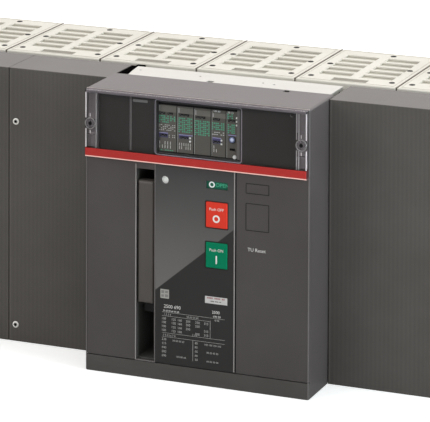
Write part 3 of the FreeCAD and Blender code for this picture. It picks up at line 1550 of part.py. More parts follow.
def write():
    """Write each sub-part to its own file."""
    os.makedirs("parts", exist_ok=True)
    for shape in NODES:
        shape.Shape.exportStep(f"parts/{shape.Label}.step")
    print(f"{len(NODES)} sub-parts")


build()
check()
write()
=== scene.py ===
"""Dresses the air circuit breaker: finishes, printed marks, fine trim and the studio round it."""

import json
import logging
import math
from collections.abc import Callable, Iterator
from contextlib import contextmanager
from dataclasses import dataclass, field
from enum import Enum

import bmesh
import bpy
from mathutils import Matrix, Vector

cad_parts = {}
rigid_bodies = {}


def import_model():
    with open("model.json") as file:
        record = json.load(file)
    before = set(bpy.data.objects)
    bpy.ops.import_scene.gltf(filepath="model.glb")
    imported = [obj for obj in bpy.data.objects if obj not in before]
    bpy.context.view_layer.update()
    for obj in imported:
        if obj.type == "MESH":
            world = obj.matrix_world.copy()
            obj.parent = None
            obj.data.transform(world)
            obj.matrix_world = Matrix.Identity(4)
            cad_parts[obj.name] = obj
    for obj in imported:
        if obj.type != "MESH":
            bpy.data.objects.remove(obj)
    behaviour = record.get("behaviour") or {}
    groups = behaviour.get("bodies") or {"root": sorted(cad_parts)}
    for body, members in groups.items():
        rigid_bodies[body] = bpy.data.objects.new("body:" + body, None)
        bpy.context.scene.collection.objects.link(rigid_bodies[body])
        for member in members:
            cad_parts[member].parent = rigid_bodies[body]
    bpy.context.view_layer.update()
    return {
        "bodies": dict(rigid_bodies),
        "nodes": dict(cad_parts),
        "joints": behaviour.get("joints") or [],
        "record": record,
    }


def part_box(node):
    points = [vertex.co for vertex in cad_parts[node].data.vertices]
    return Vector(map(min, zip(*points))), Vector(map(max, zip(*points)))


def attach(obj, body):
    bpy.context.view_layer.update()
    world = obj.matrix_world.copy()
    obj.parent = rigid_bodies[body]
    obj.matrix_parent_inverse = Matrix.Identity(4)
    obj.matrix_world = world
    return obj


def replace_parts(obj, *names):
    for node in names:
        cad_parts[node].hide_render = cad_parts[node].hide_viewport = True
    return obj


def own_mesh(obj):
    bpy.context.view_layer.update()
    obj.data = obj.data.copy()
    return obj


LOG = logging.getLogger("breaker")
MM = 0.001
FORWARD = Vector((0, -1, 0))
UP = Vector((0, 0, 1))
Colour = tuple[float, float, float, float]
Socket = bpy.types.NodeSocket
Sockets = dict[str, Socket]
Outputs = bpy.types.NodeOutputs
Span = tuple[float, ...]
Spans = tuple[Span, ...]


class Side(Enum):
    """Left or right of the breaker, with the sign of its X."""

    LEFT = -1
    RIGHT = 1


class Body(Enum):
    """The CAD bodies that pieces ride on."""

    FRAME = "frame"
    WINDOW = "window"
    OFF = "off_push"
    ON = "on_push"
    FLAG = "open_closed_flag"
    LATCH_LEFT = "left_latch"
    LATCH_RIGHT = "right_latch"


def srgb(red: int, green: int, blue: int, gain: float = 1.0) -> Colour:
    """Turns an 8-bit display colour into the linear colour that a shader takes.

    Args:
        red: Red from 0 to 255.
        green: Green from 0 to 255.
        blue: Blue from 0 to 255.
        gain: A factor on the linear colour.

    Returns:
        The linear colour with full alpha.
    """
    def linear(value: int) -> float:
        """Turns one channel linear."""
        share = value / 255
        return gain * (share / 12.92 if share <= 0.04045 else ((share + 0.055) / 1.055) ** 2.4)

    return linear(red), linear(green), linear(blue), 1.0


def shaded(colour: Colour, gain: float) -> Colour:
    """Makes a colour darker or lighter.

    Args:
        colour: The linear colour.
        gain: The factor on it.

    Returns:
        The new colour, with no channel past 1.
    """
    red, green, blue = (min(1.0, value * gain) for value in colour[:3])
    return red, green, blue, 1.0


BLACK = srgb(0, 0, 0)
DUST = srgb(196, 190, 182)
RUBBED = srgb(205, 202, 198)
UNEVEN = srgb(216, 214, 210)


# ---- places


@dataclass(frozen=True)
class Shield:
    """Places on the breaker's face, counted from the front shield.

    Args:
        middle: X of the shield's centre line, in metres.
        face: Y of the shield's face, in metres.
    """

    middle: float
    face: float

    @classmethod
    def measured(cls) -> "Shield":
        """Reads the shield's place from its CAD node."""
        low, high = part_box("front_shield")
        return cls((low[0] + high[0]) / 2, low[1])

    def at(self, across: float, back: float, high: float) -> Vector:
        """Turns millimetres from the shield into a place.

        Args:
            across: Millimetres right of the centre line.
            back: Millimetres behind the shield's face.
            high: Millimetres above the floor.

        Returns:
            The place in metres.
        """
        return Vector((self.middle + across * MM, self.face + back * MM, high * MM))


# ---- node graphs


class Graph:
    """Adds and wires the nodes of one tree."""

    def __init__(self, tree: bpy.types.NodeTree) -> None:
        """Starts on a tree.

        Args:
            tree: A material's, group's or world's node tree.
        """
        self.tree = tree

    def add(self, kind: str, inputs: dict | None = None, **settings: object) -> bpy.types.Node:
        """Adds a node.

        Args:
            kind: The node's type name, without its ShaderNode prefix.
            inputs: Values or sockets for its inputs, by name or number.
            settings: Attributes of the node.

        Returns:
            The new node.
        """
        prefix = "" if kind.startswith("Node") else "ShaderNode"
        node = self.tree.nodes.new(prefix + kind)
        for name, value in settings.items():
            setattr(node, name, value)
        for key, value in (inputs or {}).items():
            self.feed(value, node.inputs[key])
        return node

    def feed(self, value: object, socket: Socket) -> None:
        """Wires a socket into another, or sets its value.

        Args:
            value: An output socket, a number or a colour.
            socket: The input that takes it.
        """
        if isinstance(value, Socket):
            self.tree.links.new(value, socket)
        else:
            socket.default_value = value

    def math(self, operation: str, *values: object, clamp: bool = False) -> Socket:
        """Adds a Math node.

        Args:
            operation: The operation's name.
            values: One to three numbers or sockets.
            clamp: Whether the result stays from 0 to 1.

        Returns:
            The result's socket.
        """
        return self.add("Math", dict(enumerate(values)), operation=operation, use_clamp=clamp).outputs[0]

    def times(self, first: object, second: object) -> Socket:
        """Multiplies two numbers or sockets.

        Args:
            first: The first factor.
            second: The second factor.

        Returns:
            The product's socket.
        """
        return self.math("MULTIPLY", first, second)

    def mix(self, factor: object, first: object, second: object, blend: str = "MIX") -> Socket:
        """Adds a colour Mix node.

        Args:
            factor: How much of the second colour shows.
            first: The first colour.
            second: The second colour.
            blend: The blend mode.

        Returns:
            The mixed colour's socket.
        """
        inputs = {0: factor, 6: first, 7: second}
        return self.add("Mix", inputs, data_type="RGBA", blend_type=blend).outputs[2]

    def ramp(self, value: object, low: float, high: float) -> Socket:
        """Spreads a value between two limits over 0 to 1.

        Args:
            value: The value's socket.
            low: What becomes 0.
            high: What becomes 1.

        Returns:
            The clamped result's socket.
        """
        return self.add("MapRange", {0: value, 1: low, 2: high}, clamp=True).outputs[0]

    def where(self) -> Socket:
        """Gives the object coordinates."""
        return self.add("TexCoord").outputs["Object"]

    def parts(self, vector: Socket) -> Outputs:
        """Gives a vector's X, Y and Z.

        Args:
            vector: The vector's socket.

        Returns:
            The three sockets.
        """
        return self.add("SeparateXYZ", {0: vector}).outputs

    def facing(self, kind: str = "True Normal") -> Outputs:
        """Gives X, Y and Z of the way that the surface looks.

        Args:
            kind: Which of the geometry's normals.

        Returns:
            The three sockets.
        """
        return self.parts(self.add("NewGeometry").outputs[kind])


class SharedGroups:
    """The node groups that several finishes use, each made once."""

    def __init__(self) -> None:
        """Makes every group."""
        self.grain = self._group("moulded_grain", {"Scale": 1400.0, "Broad": 14.0}, self._grain)
        self.edges = self._group("soft_edges", {"Radius": 0.0006, "Break": 60.0}, self._edges)
        self.dust = self._group("settled_dust", {"Scale": 45.0}, self._dust)
        self.strokes = self._group("metal_strokes", {"Scale": 900.0}, self._strokes)

    @staticmethod
    def _group(name: str, inputs: dict[str, float], fill: Callable[..., Sockets]) -> bpy.types.NodeTree:
        """Makes a group of number inputs.

        Args:
            name: The group's name.
            inputs: Its inputs and their defaults.
            fill: What makes its nodes.

        Returns:
            The group.
        """
        tree = bpy.data.node_groups.new(name, "ShaderNodeTree")
        for label, value in inputs.items():
            socket = tree.interface.new_socket(name=label, in_out="INPUT", socket_type="NodeSocketFloat")
            socket.default_value = value
        graph = Graph(tree)
        results = fill(graph, graph.add("NodeGroupInput").outputs)
        for label in results:
            kind = "NodeSocketVector" if label == "Normal" else "NodeSocketFloat"
            tree.interface.new_socket(name=label, in_out="OUTPUT", socket_type=kind)
        graph.add("NodeGroupOutput", results)
        return tree

    @staticmethod
    def _grain(graph: Graph, given: Outputs) -> Sockets:
        """Makes the fine grain of moulded plastic and its broad unevenness.

        Args:
            graph: The group's graph.
            given: The sockets of its inputs.

        Returns:
            The height, the speckle that goes with it, and the broad cloud.
        """
        where = graph.where()
        fine = graph.add("TexNoise", {"Vector": where, "Scale": given["Scale"], "Detail": 3.0,
                                      "Roughness": 0.6}).outputs["Fac"]
        cells = graph.add("TexVoronoi", {"Vector": where, "Scale": given["Scale"]}).outputs["Distance"]
        cloud = graph.add("TexNoise", {"Vector": where, "Scale": given["Broad"], "Detail": 4.0})
        return {"Height": graph.math("ADD", fine, graph.times(cells, 0.5)),
                "Speckle": graph.ramp(fine, 0.3, 0.7),
                "Cloud": graph.ramp(cloud.outputs["Fac"], 0.3, 0.7)}

    @staticmethod
    def _edges(graph: Graph, given: Outputs) -> Sockets:
        """Makes softened edges, and a mask of where they are worn.

        Args:
            graph: The group's graph.
            given: The sockets of its inputs.

        Returns:
            The softened normal, the mask of edges and the mask of worn edges.
        """
        soft = graph.add("Bevel", {"Radius": given["Radius"]}, samples=4).outputs[0]
        true = graph.add("NewGeometry").outputs["True Normal"]
        dot = graph.add("VectorMath", {0: soft, 1: true}, operation="DOT_PRODUCT").outputs["Value"]
        edge = graph.ramp(graph.math("SUBTRACT", 1.0, dot), 0.01, 0.16)
        noise = graph.add("TexNoise", {"Vector": graph.where(), "Scale": given["Break"], "Detail": 5.0})
        broken = graph.ramp(noise.outputs["Fac"], 0.42, 0.62)
        return {"Normal": soft, "Edge": edge, "Worn": graph.times(edge, broken)}

    @staticmethod
    def _dust(graph: Graph, given: Outputs) -> Sockets:
        """Makes a mask of the dust that lies on faces that look up.

        Args:
            graph: The group's graph.
            given: The sockets of its inputs.

        Returns:
            The mask.
        """
        up = graph.ramp(graph.facing("Normal")[2], 0.5, 1.0)
        noise = graph.add("TexNoise", {"Vector": graph.where(), "Scale": given["Scale"], "Detail": 6.0,
                                       "Roughness": 0.65})
        return {"Dust": graph.times(up, graph.ramp(noise.outputs["Fac"], 0.35, 0.75))}

    @staticmethod
    def _strokes(graph: Graph, given: Outputs) -> Sockets:
        """Makes the fine strokes of brushed or machined metal, along X, and its crystal patches.

        Args:
            graph: The group's graph.
            given: The sockets of its inputs.

        Returns:
            The strokes and the patches.
        """
        where = graph.where()
        stretched = graph.add("Mapping", {"Vector": where, "Scale": (0.03, 1.0, 1.0)}).outputs[0]
        stroke = graph.add("TexNoise", {"Vector": stretched, "Scale": given["Scale"], "Detail": 2.0})
        patch = graph.add("TexVoronoi", {"Vector": where, "Scale": 150.0}).outputs["Distance"]
        return {"Stroke": stroke.outputs["Fac"], "Patch": graph.ramp(patch, 0.1, 0.7)}


# ---- finishes


class Look(Graph):
    """A material's graph, with its shader and the shared groups."""

    def __init__(self, tree: bpy.types.NodeTree, groups: SharedGroups) -> None:
        """Starts with a shader and the output.

        Args:
            tree: The material's node tree, empty.
            groups: The shared node groups.
        """
        super().__init__(tree)
        self.groups = groups
        self.shader = self.add("BsdfPrincipled")
        self.output = self.add("OutputMaterial", {0: self.shader.outputs[0]})

    def set(self, name: str, value: object) -> None:
        """Feeds one of the shader's inputs.

        Args:
            name: The input's name.
            value: A socket, a number or a colour.
        """
        self.feed(value, self.shader.inputs[name])

    def group(self, name: str, **inputs: float) -> Outputs:
        """Places a shared group.

        Args:
            name: The group's name in SharedGroups.
            inputs: Values for its inputs.

        Returns:
            The outputs of the group's node.
        """
        return self.add("Group", inputs, node_tree=getattr(self.groups, name)).outputs

    def bump(self, height: object, **normal: Socket) -> None:
        """Raises the surface by a height in metres.

        Args:
            height: The height's socket.
            normal: The normal to start from, as Normal, if it isn't the surface's own.
        """
        self.set("Normal", self.add("Bump", {"Height": height, "Distance": 1.0, **normal}).outputs[0])


@dataclass(frozen=True)
class Finish:
    """One finish and how to make it.

    Args:
        name: The material's name.
        colour: Its linear colour.
    """

    name: str
    colour: Colour

    def material(self, groups: SharedGroups) -> bpy.types.Material:
        """Makes the material.

        Args:
            groups: The shared node groups.

        Returns:
            The material.
        """
        material = bpy.data.materials.new(self.name)
        material.use_nodes = True
        material.node_tree.nodes.clear()
        self.wire(Look(material.node_tree, groups))
        material.diffuse_color = self.colour
        return material

    def wire(self, look: Look) -> None:
        """Sets the shader up. Each finish has its own way.

        Args:
            look: The material's graph.
        """
        raise NotImplementedError


@dataclass(frozen=True)
class Plastic(Finish):
    """Moulded plastic with grain, soft worn edges and dust.

    Args:
        roughness: Its mean roughness.
        grain: How deep its grain is, in metres.
        gloss: Its specular level.
        worn: How pale its worn edges are, from 0 to 1.
        dust: How much dust lies on it, from 0 to 1.
        edge: The radius of its edges, in metres.
        cloud: How uneven its colour is, from 0 to 1.
    """

    roughness: float = 0.45
    grain: float = 0.000008
    gloss: float = 0.5
    worn: float = 0.25
    dust: float = 0.12
    edge: float = 0.0006
    cloud: float = 0.12

    def base(self, graph: Graph) -> object:
        """Gives the colour under grain, wear and dust."""
        return self.colour

    def relief(self, graph: Graph) -> object | None:
        """Gives a height in metres beside the grain, or none."""
        return None

    def wire(self, look: Look) -> None:
        """Lays cloud, wear and dust over the colour, and grain over soft edges.

        Args:
            look: The material's graph.
        """
        grain = look.group("grain")
        edges = look.group("edges", Radius=self.edge)
        dust = look.times(look.group("dust")["Dust"], self.dust)
        base = self.base(look)
        uneven = look.mix(1.0, base, UNEVEN, "MULTIPLY")
        cloudy = look.mix(look.times(grain["Cloud"], self.cloud * 4), base, uneven)
        worn = look.mix(look.times(edges["Worn"], self.worn), cloudy, look.mix(0.5, base, RUBBED))
        look.set("Base Color", look.mix(dust, worn, DUST))
        spread = 0.1
        rough = look.math("ADD", self.roughness - spread / 2, look.times(grain["Speckle"], spread))
        look.set("Roughness", look.math("ADD", rough, dust, clamp=True))
        look.set("Specular IOR Level", self.gloss)
        height = look.times(grain["Height"], self.grain)
        extra = self.relief(look)
        if extra is not None:
            height = look.math("ADD", height, extra)
        look.bump(height, Normal=edges["Normal"])


@dataclass(frozen=True)
class RibbedPlastic(Plastic):
    """Plastic whose front has fine upright ribs, with painted shade between them.

    Args:
        pitch: The ribs' pitch, in metres.
        depth: Their depth, in metres.
    """

    pitch: float = 0.0052
    depth: float = 0.00003

    def _wave(self, graph: Graph) -> Socket:
        """Gives the ribs as a wave from 0 to 1, on upright faces that look forward.

        Args:
            graph: The material's graph.

        Returns:
            The wave's socket.
        """
        wave = graph.math("SINE", graph.times(graph.parts(graph.where())[0], 2 * math.pi / self.pitch))
        facing = graph.ramp(graph.times(graph.facing()[1], -1.0), 0.6, 0.9)
        return graph.times(graph.math("MULTIPLY_ADD", wave, 0.5, 0.5), facing)

    def base(self, graph: Graph) -> object:
        """Darkens the colour between the ribs, as painted shade in their grooves."""
        return graph.mix(self._wave(graph), shaded(self.colour, 0.9), self.colour)

    def relief(self, graph: Graph) -> object:
        """Gives the ribs' height."""
        return graph.times(self._wave(graph), self.depth)


@dataclass(frozen=True)
class TwoTonePlate(Plastic):
    """The centre plate: a printed dark lower right half, and a paler upper left half
    that fades darker towards its head in a painted sheen gradient.

    Args:
        shield: The places that the boundary is counted from.
        dark: The lower colour.
        top: What the upper colour fades to at the plate's head, in a painted sheen gradient.
        left_high: The boundary's height at the plate's left edge, in millimetres.
        right_high: Its height at the right edge.
        left: X of the left edge from the centre line, in millimetres.
        right: X of the right edge.
        head: The height of the plate's head, where the upper colour has faded.
        blur: Half the width over which the tones meet, in metres.
    """

    shield: Shield = Shield(0.0, 0.0)
    dark: Colour = BLACK
    top: Colour = BLACK
    left_high: float = 103.9
    right_high: float = 184.1
    left: float = -50.6
    right: float = 46.1
    head: float = 250.0
    blur: float = 0.0002

    def base(self, graph: Graph) -> object:
        """Gives the two tones, parted by a slanting line, with the upper tone's painted sheen gradient.

        Args:
            graph: The material's graph.

        Returns:
            The colour's socket.
        """
        across, _, high = graph.parts(graph.where())
        slope = (self.right_high - self.left_high) / (self.right - self.left)
        start = self.shield.at(self.left, 0, self.left_high)
        line = graph.math("MULTIPLY_ADD", across, slope, start.z - slope * start.x)
        above = graph.ramp(graph.math("SUBTRACT", high, line), -self.blur, self.blur)
        # Painted sheen gradient: the upper tone darkens towards the plate's head.
        fade = graph.ramp(high, start.z, self.head * MM)
        return graph.mix(above, self.dark, graph.mix(fade, self.colour, self.top))


@dataclass(frozen=True)
class TwoColour(Plastic):
    """Plastic of one colour above a height and another below, with painted shade on faces that look sideways
    where asked.

    Args:
        lower: The colour below.
        split: The height, in metres.
        ends: How much painted shade the faces that look sideways get, from 0 to 1.
        side_shade_colour: The colour of that painted shade.
        blur: Half the height over which the colours meet, in metres.
    """

    lower: Colour = BLACK
    split: float = 0.0
    ends: float = 0.0
    side_shade_colour: Colour = srgb(48, 36, 40)
    blur: float = 0.0001

    def base(self, graph: Graph) -> object:
        """Gives the two colours, darkened by painted shade on faces that look sideways.

        Args:
            graph: The material's graph.

        Returns:
            The colour's socket.
        """
        above = graph.ramp(graph.parts(graph.where())[2], self.split - self.blur, self.split + self.blur)
        colour = graph.mix(above, self.lower, self.colour)
        if not self.ends:
            return colour
        # Painted shade on the faces that look sideways.
        aside = graph.ramp(graph.math("ABSOLUTE", graph.facing()[0]), 0.5, 0.8)
        return graph.mix(graph.times(aside, self.ends), colour, self.side_shade_colour)


@dataclass(frozen=True)
class Metal(Finish):
    """Metal with strokes, patches and bright edges.

    Args:
        roughness: Its mean roughness.
        strokes: How strongly its strokes show.
        patches: How strongly its crystal patches show.
        tarnish: How dark its clouds are.
        shine: How bright its edges are.
        edge: The radius of its edges, in metres.
        relief: How deep its strokes are, in metres, where they show fully.
        dark: How bright its patches and clouds are, against its colour.
        light: How bright its edges are, against its colour.
        dull: How much rougher its patches are, where they show fully.
        speckle: How much rougher its grain makes it.
        scale: The scale of its grain.
    """

    roughness: float = 0.35
    strokes: float = 0.15
    patches: float = 0.0
    tarnish: float = 0.3
    shine: float = 0.5
    edge: float = 0.0004
    relief: float = 0.0001
    dark: float = 0.62
    light: float = 1.25
    dull: float = 0.25
    speckle: float = 0.08
    scale: float = 700.0

    def wire(self, look: Look) -> None:
        """Lays strokes, patches and bright edges over the metal.

        Args:
            look: The material's graph.
        """
        stroke, patch = look.group("strokes")
        edges = look.group("edges", Radius=self.edge)
        grain = look.group("grain", Scale=self.scale)
        dark, light = shaded(self.colour, self.dark), shaded(self.colour, self.light)
        patchy = look.mix(look.times(patch, self.patches), self.colour, dark)
        cloudy = look.mix(look.times(grain["Cloud"], self.tarnish), patchy, dark)
        look.set("Base Color", look.mix(look.times(edges["Edge"], self.shine), cloudy, light))
        look.set("Metallic", 1.0)
        rough = look.math("MULTIPLY_ADD", stroke, self.strokes, self.roughness - self.strokes / 2)
        rough = look.math("MULTIPLY_ADD", patch, self.patches * self.dull, rough)
        look.set("Roughness", look.math("MULTIPLY_ADD", grain["Speckle"], self.speckle, rough, clamp=True))
        look.bump(look.times(stroke, self.strokes * self.relief), Normal=edges["Normal"])


@dataclass(frozen=True)
class Screen(Finish):
    """The perforated sheet seen through the vents.

    Args:
        pitch: The holes' pitch, in metres.
        sunk: How deep they look, in metres.
        rim: Where a hole begins and where it is full, from its middle, in pitches.
        dark: How bright the holes and clouds are, against the paint's colour.
        hollow: How strongly the holes show.
        cloud: How strongly the clouds show.
        roughness: Its least roughness.
        speckle: How much rougher its grain makes it.
    """

    pitch: float = 0.0016
    sunk: float = 0.0002
    rim: Span = (0.34, 0.22)
    dark: float = 0.55
    hollow: float = 0.6
    cloud: float = 0.35
    roughness: float = 0.6
    speckle: float = 0.1

    def wire(self, look: Look) -> None:
        """Draws the holes as dark dots in a painted sheet.

        Args:
            look: The material's graph.
        """
        cells = look.add("TexVoronoi", {"Vector": look.where(), "Scale": 1 / self.pitch, "Randomness": 0.1})
        hole = look.ramp(cells.outputs["Distance"], *self.rim)
        grain = look.group("grain")
        dark = shaded(self.colour, self.dark)
        cloudy = look.mix(look.times(grain["Cloud"], self.cloud), self.colour, dark)
        look.set("Base Color", look.mix(look.times(hole, self.hollow), cloudy, dark))
        look.set("Roughness", look.math("MULTIPLY_ADD", grain["Speckle"], self.speckle, self.roughness))
        look.bump(look.times(hole, -self.sunk))


@dataclass(frozen=True)
class Clear(Finish):
    """Clear moulded plastic, with faint rubbed patches.

    Args:
        gloss: Its specular level.
        bend: Its index of refraction.
        shadow: The colour of the light that it lets through.
        rubbed: How rough its rubbed patches are.
        scale: The scale of those patches.
    """

    gloss: float = 0.3
    bend: float = 1.12
    shadow: Colour = srgb(238, 240, 241)
    rubbed: float = 0.006
    scale: float = 30.0

    def wire(self, look: Look) -> None:
        """Makes it see-through, a little rougher where it is rubbed.

        Args:
            look: The material's graph.
        """
        grain = look.group("grain", Broad=self.scale)
        look.set("Base Color", self.colour)
        look.set("Transmission Weight", 1.0)
        look.set("IOR", self.bend)
        look.set("Specular IOR Level", self.gloss)
        look.set("Roughness", look.times(grain["Cloud"], self.rubbed))
        through = look.add("BsdfTransparent", {0: self.shadow})
        ray = look.add("LightPath").outputs["Is Shadow Ray"]
        mixed = look.add("MixShader", {0: ray, 1: look.shader.outputs[0], 2: through.outputs[0]})
        look.feed(mixed.outputs[0], look.output.inputs[0])


@dataclass(frozen=True)
class Print(Finish):
    """Printed ink, slightly uneven.

    Args:
        roughness: Its least roughness.
        speckle: How much rougher its grain makes it.
        dark: How bright its clouds are, against its colour.
        cloud: How strongly they show.
        fine: The scale of its grain.
        broad: The scale of its clouds.
    """

    roughness: float = 0.5
    speckle: float = 0.1
    dark: float = 0.82
    cloud: float = 0.5
    fine: float = 2500.0
    broad: float = 120.0

    def wire(self, look: Look) -> None:
        """Lays a faint unevenness over the ink.

        Args:
            look: The material's graph.
        """
        grain = look.group("grain", Scale=self.fine, Broad=self.broad)
        factor = look.times(grain["Cloud"], self.cloud)
        look.set("Base Color", look.mix(factor, self.colour, shaded(self.colour, self.dark)))
        look.set("Roughness", look.math("MULTIPLY_ADD", grain["Speckle"], self.speckle, self.roughness))


FINISHES: tuple[Finish, ...] = (
    Plastic("shield_plastic", srgb(80, 75, 74, 0.88), 0.42, worn=0.2, dust=0.05),
    Plastic("plinth_plastic", srgb(77, 74, 71), 0.44, worn=0.2),
    RibbedPlastic("cover_plastic", srgb(85, 81, 77), 0.46, worn=0.15, dust=0.05),
    Plastic("dark_plastic", srgb(54, 49, 45, 0.58), 0.5, worn=0.15, dust=0.06),
    Plastic("unit_plastic", srgb(96, 92, 84, 0.9), 0.5, worn=0.1, dust=0.03),
    Plastic("bezel_plastic", srgb(52, 50, 50), 0.35, worn=0.3, dust=0.05, edge=0.0008),
    Plastic("black_plastic", srgb(20, 19, 20), gloss=0.12, worn=0.05, dust=0.01),
    # Near black for painted shade where a gap lies in shadow.
    Plastic("gap_shade_black", srgb(10, 9, 9), 0.9, gloss=0.0, worn=0.0, dust=0.0),
    Plastic("channel_plastic", srgb(76, 78, 74), 0.5, worn=0.1, dust=0.06),
    Plastic("resin", srgb(46, 46, 48), 0.35, worn=0.2),
    Plastic("latch_strip", srgb(106, 98, 99), 0.35, worn=0.1),
    Plastic("black_screw", srgb(24, 22, 22), 0.5, gloss=0.1, worn=0.15, dust=0.02, grain=0.000003),
    Plastic("white_plastic", srgb(236, 236, 232), 0.35, worn=0.0, dust=0.02, cloud=0.05),
    Plastic("lens_plastic", srgb(214, 222, 244), 0.2, worn=0.0, dust=0.0, cloud=0.04),
    Plastic("lens_rim_plastic", srgb(112, 122, 158), 0.25, worn=0.0, dust=0.0, cloud=0.04),
    Plastic("red_plastic", srgb(210, 56, 40), 0.42, gloss=0.12, worn=0.06, dust=0.02, cloud=0.05),
    Plastic("green_plastic", srgb(0, 117, 82), 0.42, gloss=0.08, worn=0.06, dust=0.02, cloud=0.05),
    Plastic("chute_plastic", srgb(233, 228, 216, 0.88), 0.55, grain=0.000012, worn=0.12,
            dust=0.1, cloud=0.07),
    Plastic("chute_line_plastic", srgb(214, 208, 195, 0.88), 0.6, worn=0.0, dust=0.0),
    Plastic("chute_label_plastic", srgb(132, 127, 114), 0.55, worn=0.0, dust=0.1, cloud=0.2),
    Plastic("housing_plastic", srgb(204, 198, 184, 0.94), 0.55, grain=0.000015, worn=0.12, dust=0.08),
    Plastic("tray_paint", srgb(197, 194, 186), 0.32, grain=0.000003, worn=0.1, dust=0.05, cloud=0.03),
    Plastic("bright_screw", srgb(246, 243, 238), 0.3, worn=0.0, dust=0.02),
    Metal("latch_chrome", srgb(190, 184, 188), 0.2, strokes=0.05),
    Metal("machined_steel", srgb(168, 166, 162), 0.3, strokes=0.2),
    Metal("spring_steel", srgb(140, 138, 134), 0.28),
    Metal("zinc_sheet", srgb(192, 193, 190), 0.38, strokes=0.06, patches=0.25),
    Metal("copper", srgb(206, 140, 108), 0.3, strokes=0.2),
    Metal("silvered_copper", srgb(214, 211, 204), 0.26, strokes=0.25),
    Clear("clear_plastic", srgb(244, 245, 246)),
    Screen("vent_screen", srgb(186, 181, 166)),
    # Pale trims: mostly painted highlights along edges; the first also makes the latch collars and the module's
    # rivet.
    *(Plastic(name, srgb(*colour), roughness, worn=worn, dust=0.0, edge=0.0003)
      for name, colour, roughness, worn in (
        ("pale_trim_and_highlight", (150, 146, 144), 0.3, 0.1), ("bright_highlight", (206, 198, 198), 0.28, 0.0),
        ("window_edge_highlight", (104, 98, 102), 0.3, 0.0), ("bezel_edge_highlight", (164, 157, 166), 0.3, 0.0),
        ("cover_edge_highlight", (98, 93, 89), 0.4, 0.1), ("head_highlight", (186, 174, 172), 0.4, 0.1),
        ("edge_highlight", (108, 103, 102), 0.4, 0.1))),
    *(Print(name, srgb(*colour)) for name, colour in (
        ("white_ink", (240, 242, 240)), ("button_ink", (226, 220, 214)), ("pale_ink", (206, 204, 200)),
        ("grey_ink", (162, 161, 157)), ("panel_ink", (110, 106, 98)), ("faint_ink", (122, 120, 118)),
        ("green_ink", (66, 186, 144)), ("lilac_ink", (150, 146, 196)), ("violet_ink", (72, 67, 112)),
        ("dim_paper", (160, 158, 151)), ("label_paper", (190, 188, 185)), ("rose_ink", (150, 104, 104)),
        ("line_ink", (46, 44, 43)), ("shadow_ink", (30, 25, 23)), ("seam_ink", (104, 97, 86)))),
)


class Palette:
    """Every finish of the breaker, made once and asked for by name."""

    def __init__(self, groups: SharedGroups, shield: Shield) -> None:
        """Lists the finishes.

        Args:
            groups: The shared node groups.
            shield: Places for the finishes that change over a piece.
        """
        self.groups = groups
        self.finishes = {finish.name: finish for finish in (*FINISHES, *self._parted(shield))}
        self.made: dict[str, bpy.types.Material] = {}

    @staticmethod
    def _parted(shield: Shield) -> list[Finish]:
        """Lists the plastics of two colours.

        Args:
            shield: The places that their boundaries are counted from.

        Returns:
            The finishes.
        """
        low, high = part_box("position_flag")
        flags = (low[2] + high[2]) / 2
        # The red band's pale strip along its lower edge is a painted highlight, this tall.
        highlight_line = 0.0016
        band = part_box("red_band")[0][2] + highlight_line
        # Below this height the lever's toe is painted near black, as painted shade where it lies deep in the
        # channel.
        toe_shade_top = 86.5 * MM
        return [
            TwoTonePlate("plate_plastic", srgb(109, 106, 104, 0.95), 0.4, worn=0.1, dust=0.04,
                         cloud=0.06, shield=shield, dark=srgb(56, 54, 53, 0.66), top=srgb(69, 68, 68, 0.8)),
            # The band's pale part below the split is a painted highlight, and its ends that look sideways get
            # painted shade.
            TwoColour("band_plastic", srgb(172, 44, 40), 0.3, gloss=0.3, worn=0.1, dust=0.05,
                      cloud=0.05, lower=srgb(250, 200, 190), split=band, ends=0.9),
            TwoColour("position_flag_plastic", srgb(0, 100, 76), 0.4, worn=0.0, dust=0.0,
                      lower=srgb(200, 40, 36), split=flags),
            TwoColour("spring_flag_plastic", srgb(246, 248, 244), 0.4, worn=0.0, dust=0.0,
                      cloud=0.03, lower=srgb(236, 190, 40), split=flags),
            # The lever's near-black part below the grip is painted shade.
            TwoColour("lever_plastic", srgb(86, 81, 77, 0.9), 0.4, worn=0.3, dust=0.06,
                      lower=srgb(22, 20, 20), split=toe_shade_top),
        ]

    def __getitem__(self, name: str) -> bpy.types.Material:
        """Gives a finish's material, made when it is first asked for.

        Args:
            name: The finish's name.

        Returns:
            The material.
        """
        if name not in self.made:
            self.made[name] = self.finishes[name].material(self.groups)
        return self.made[name]


# ---- mesh helpers


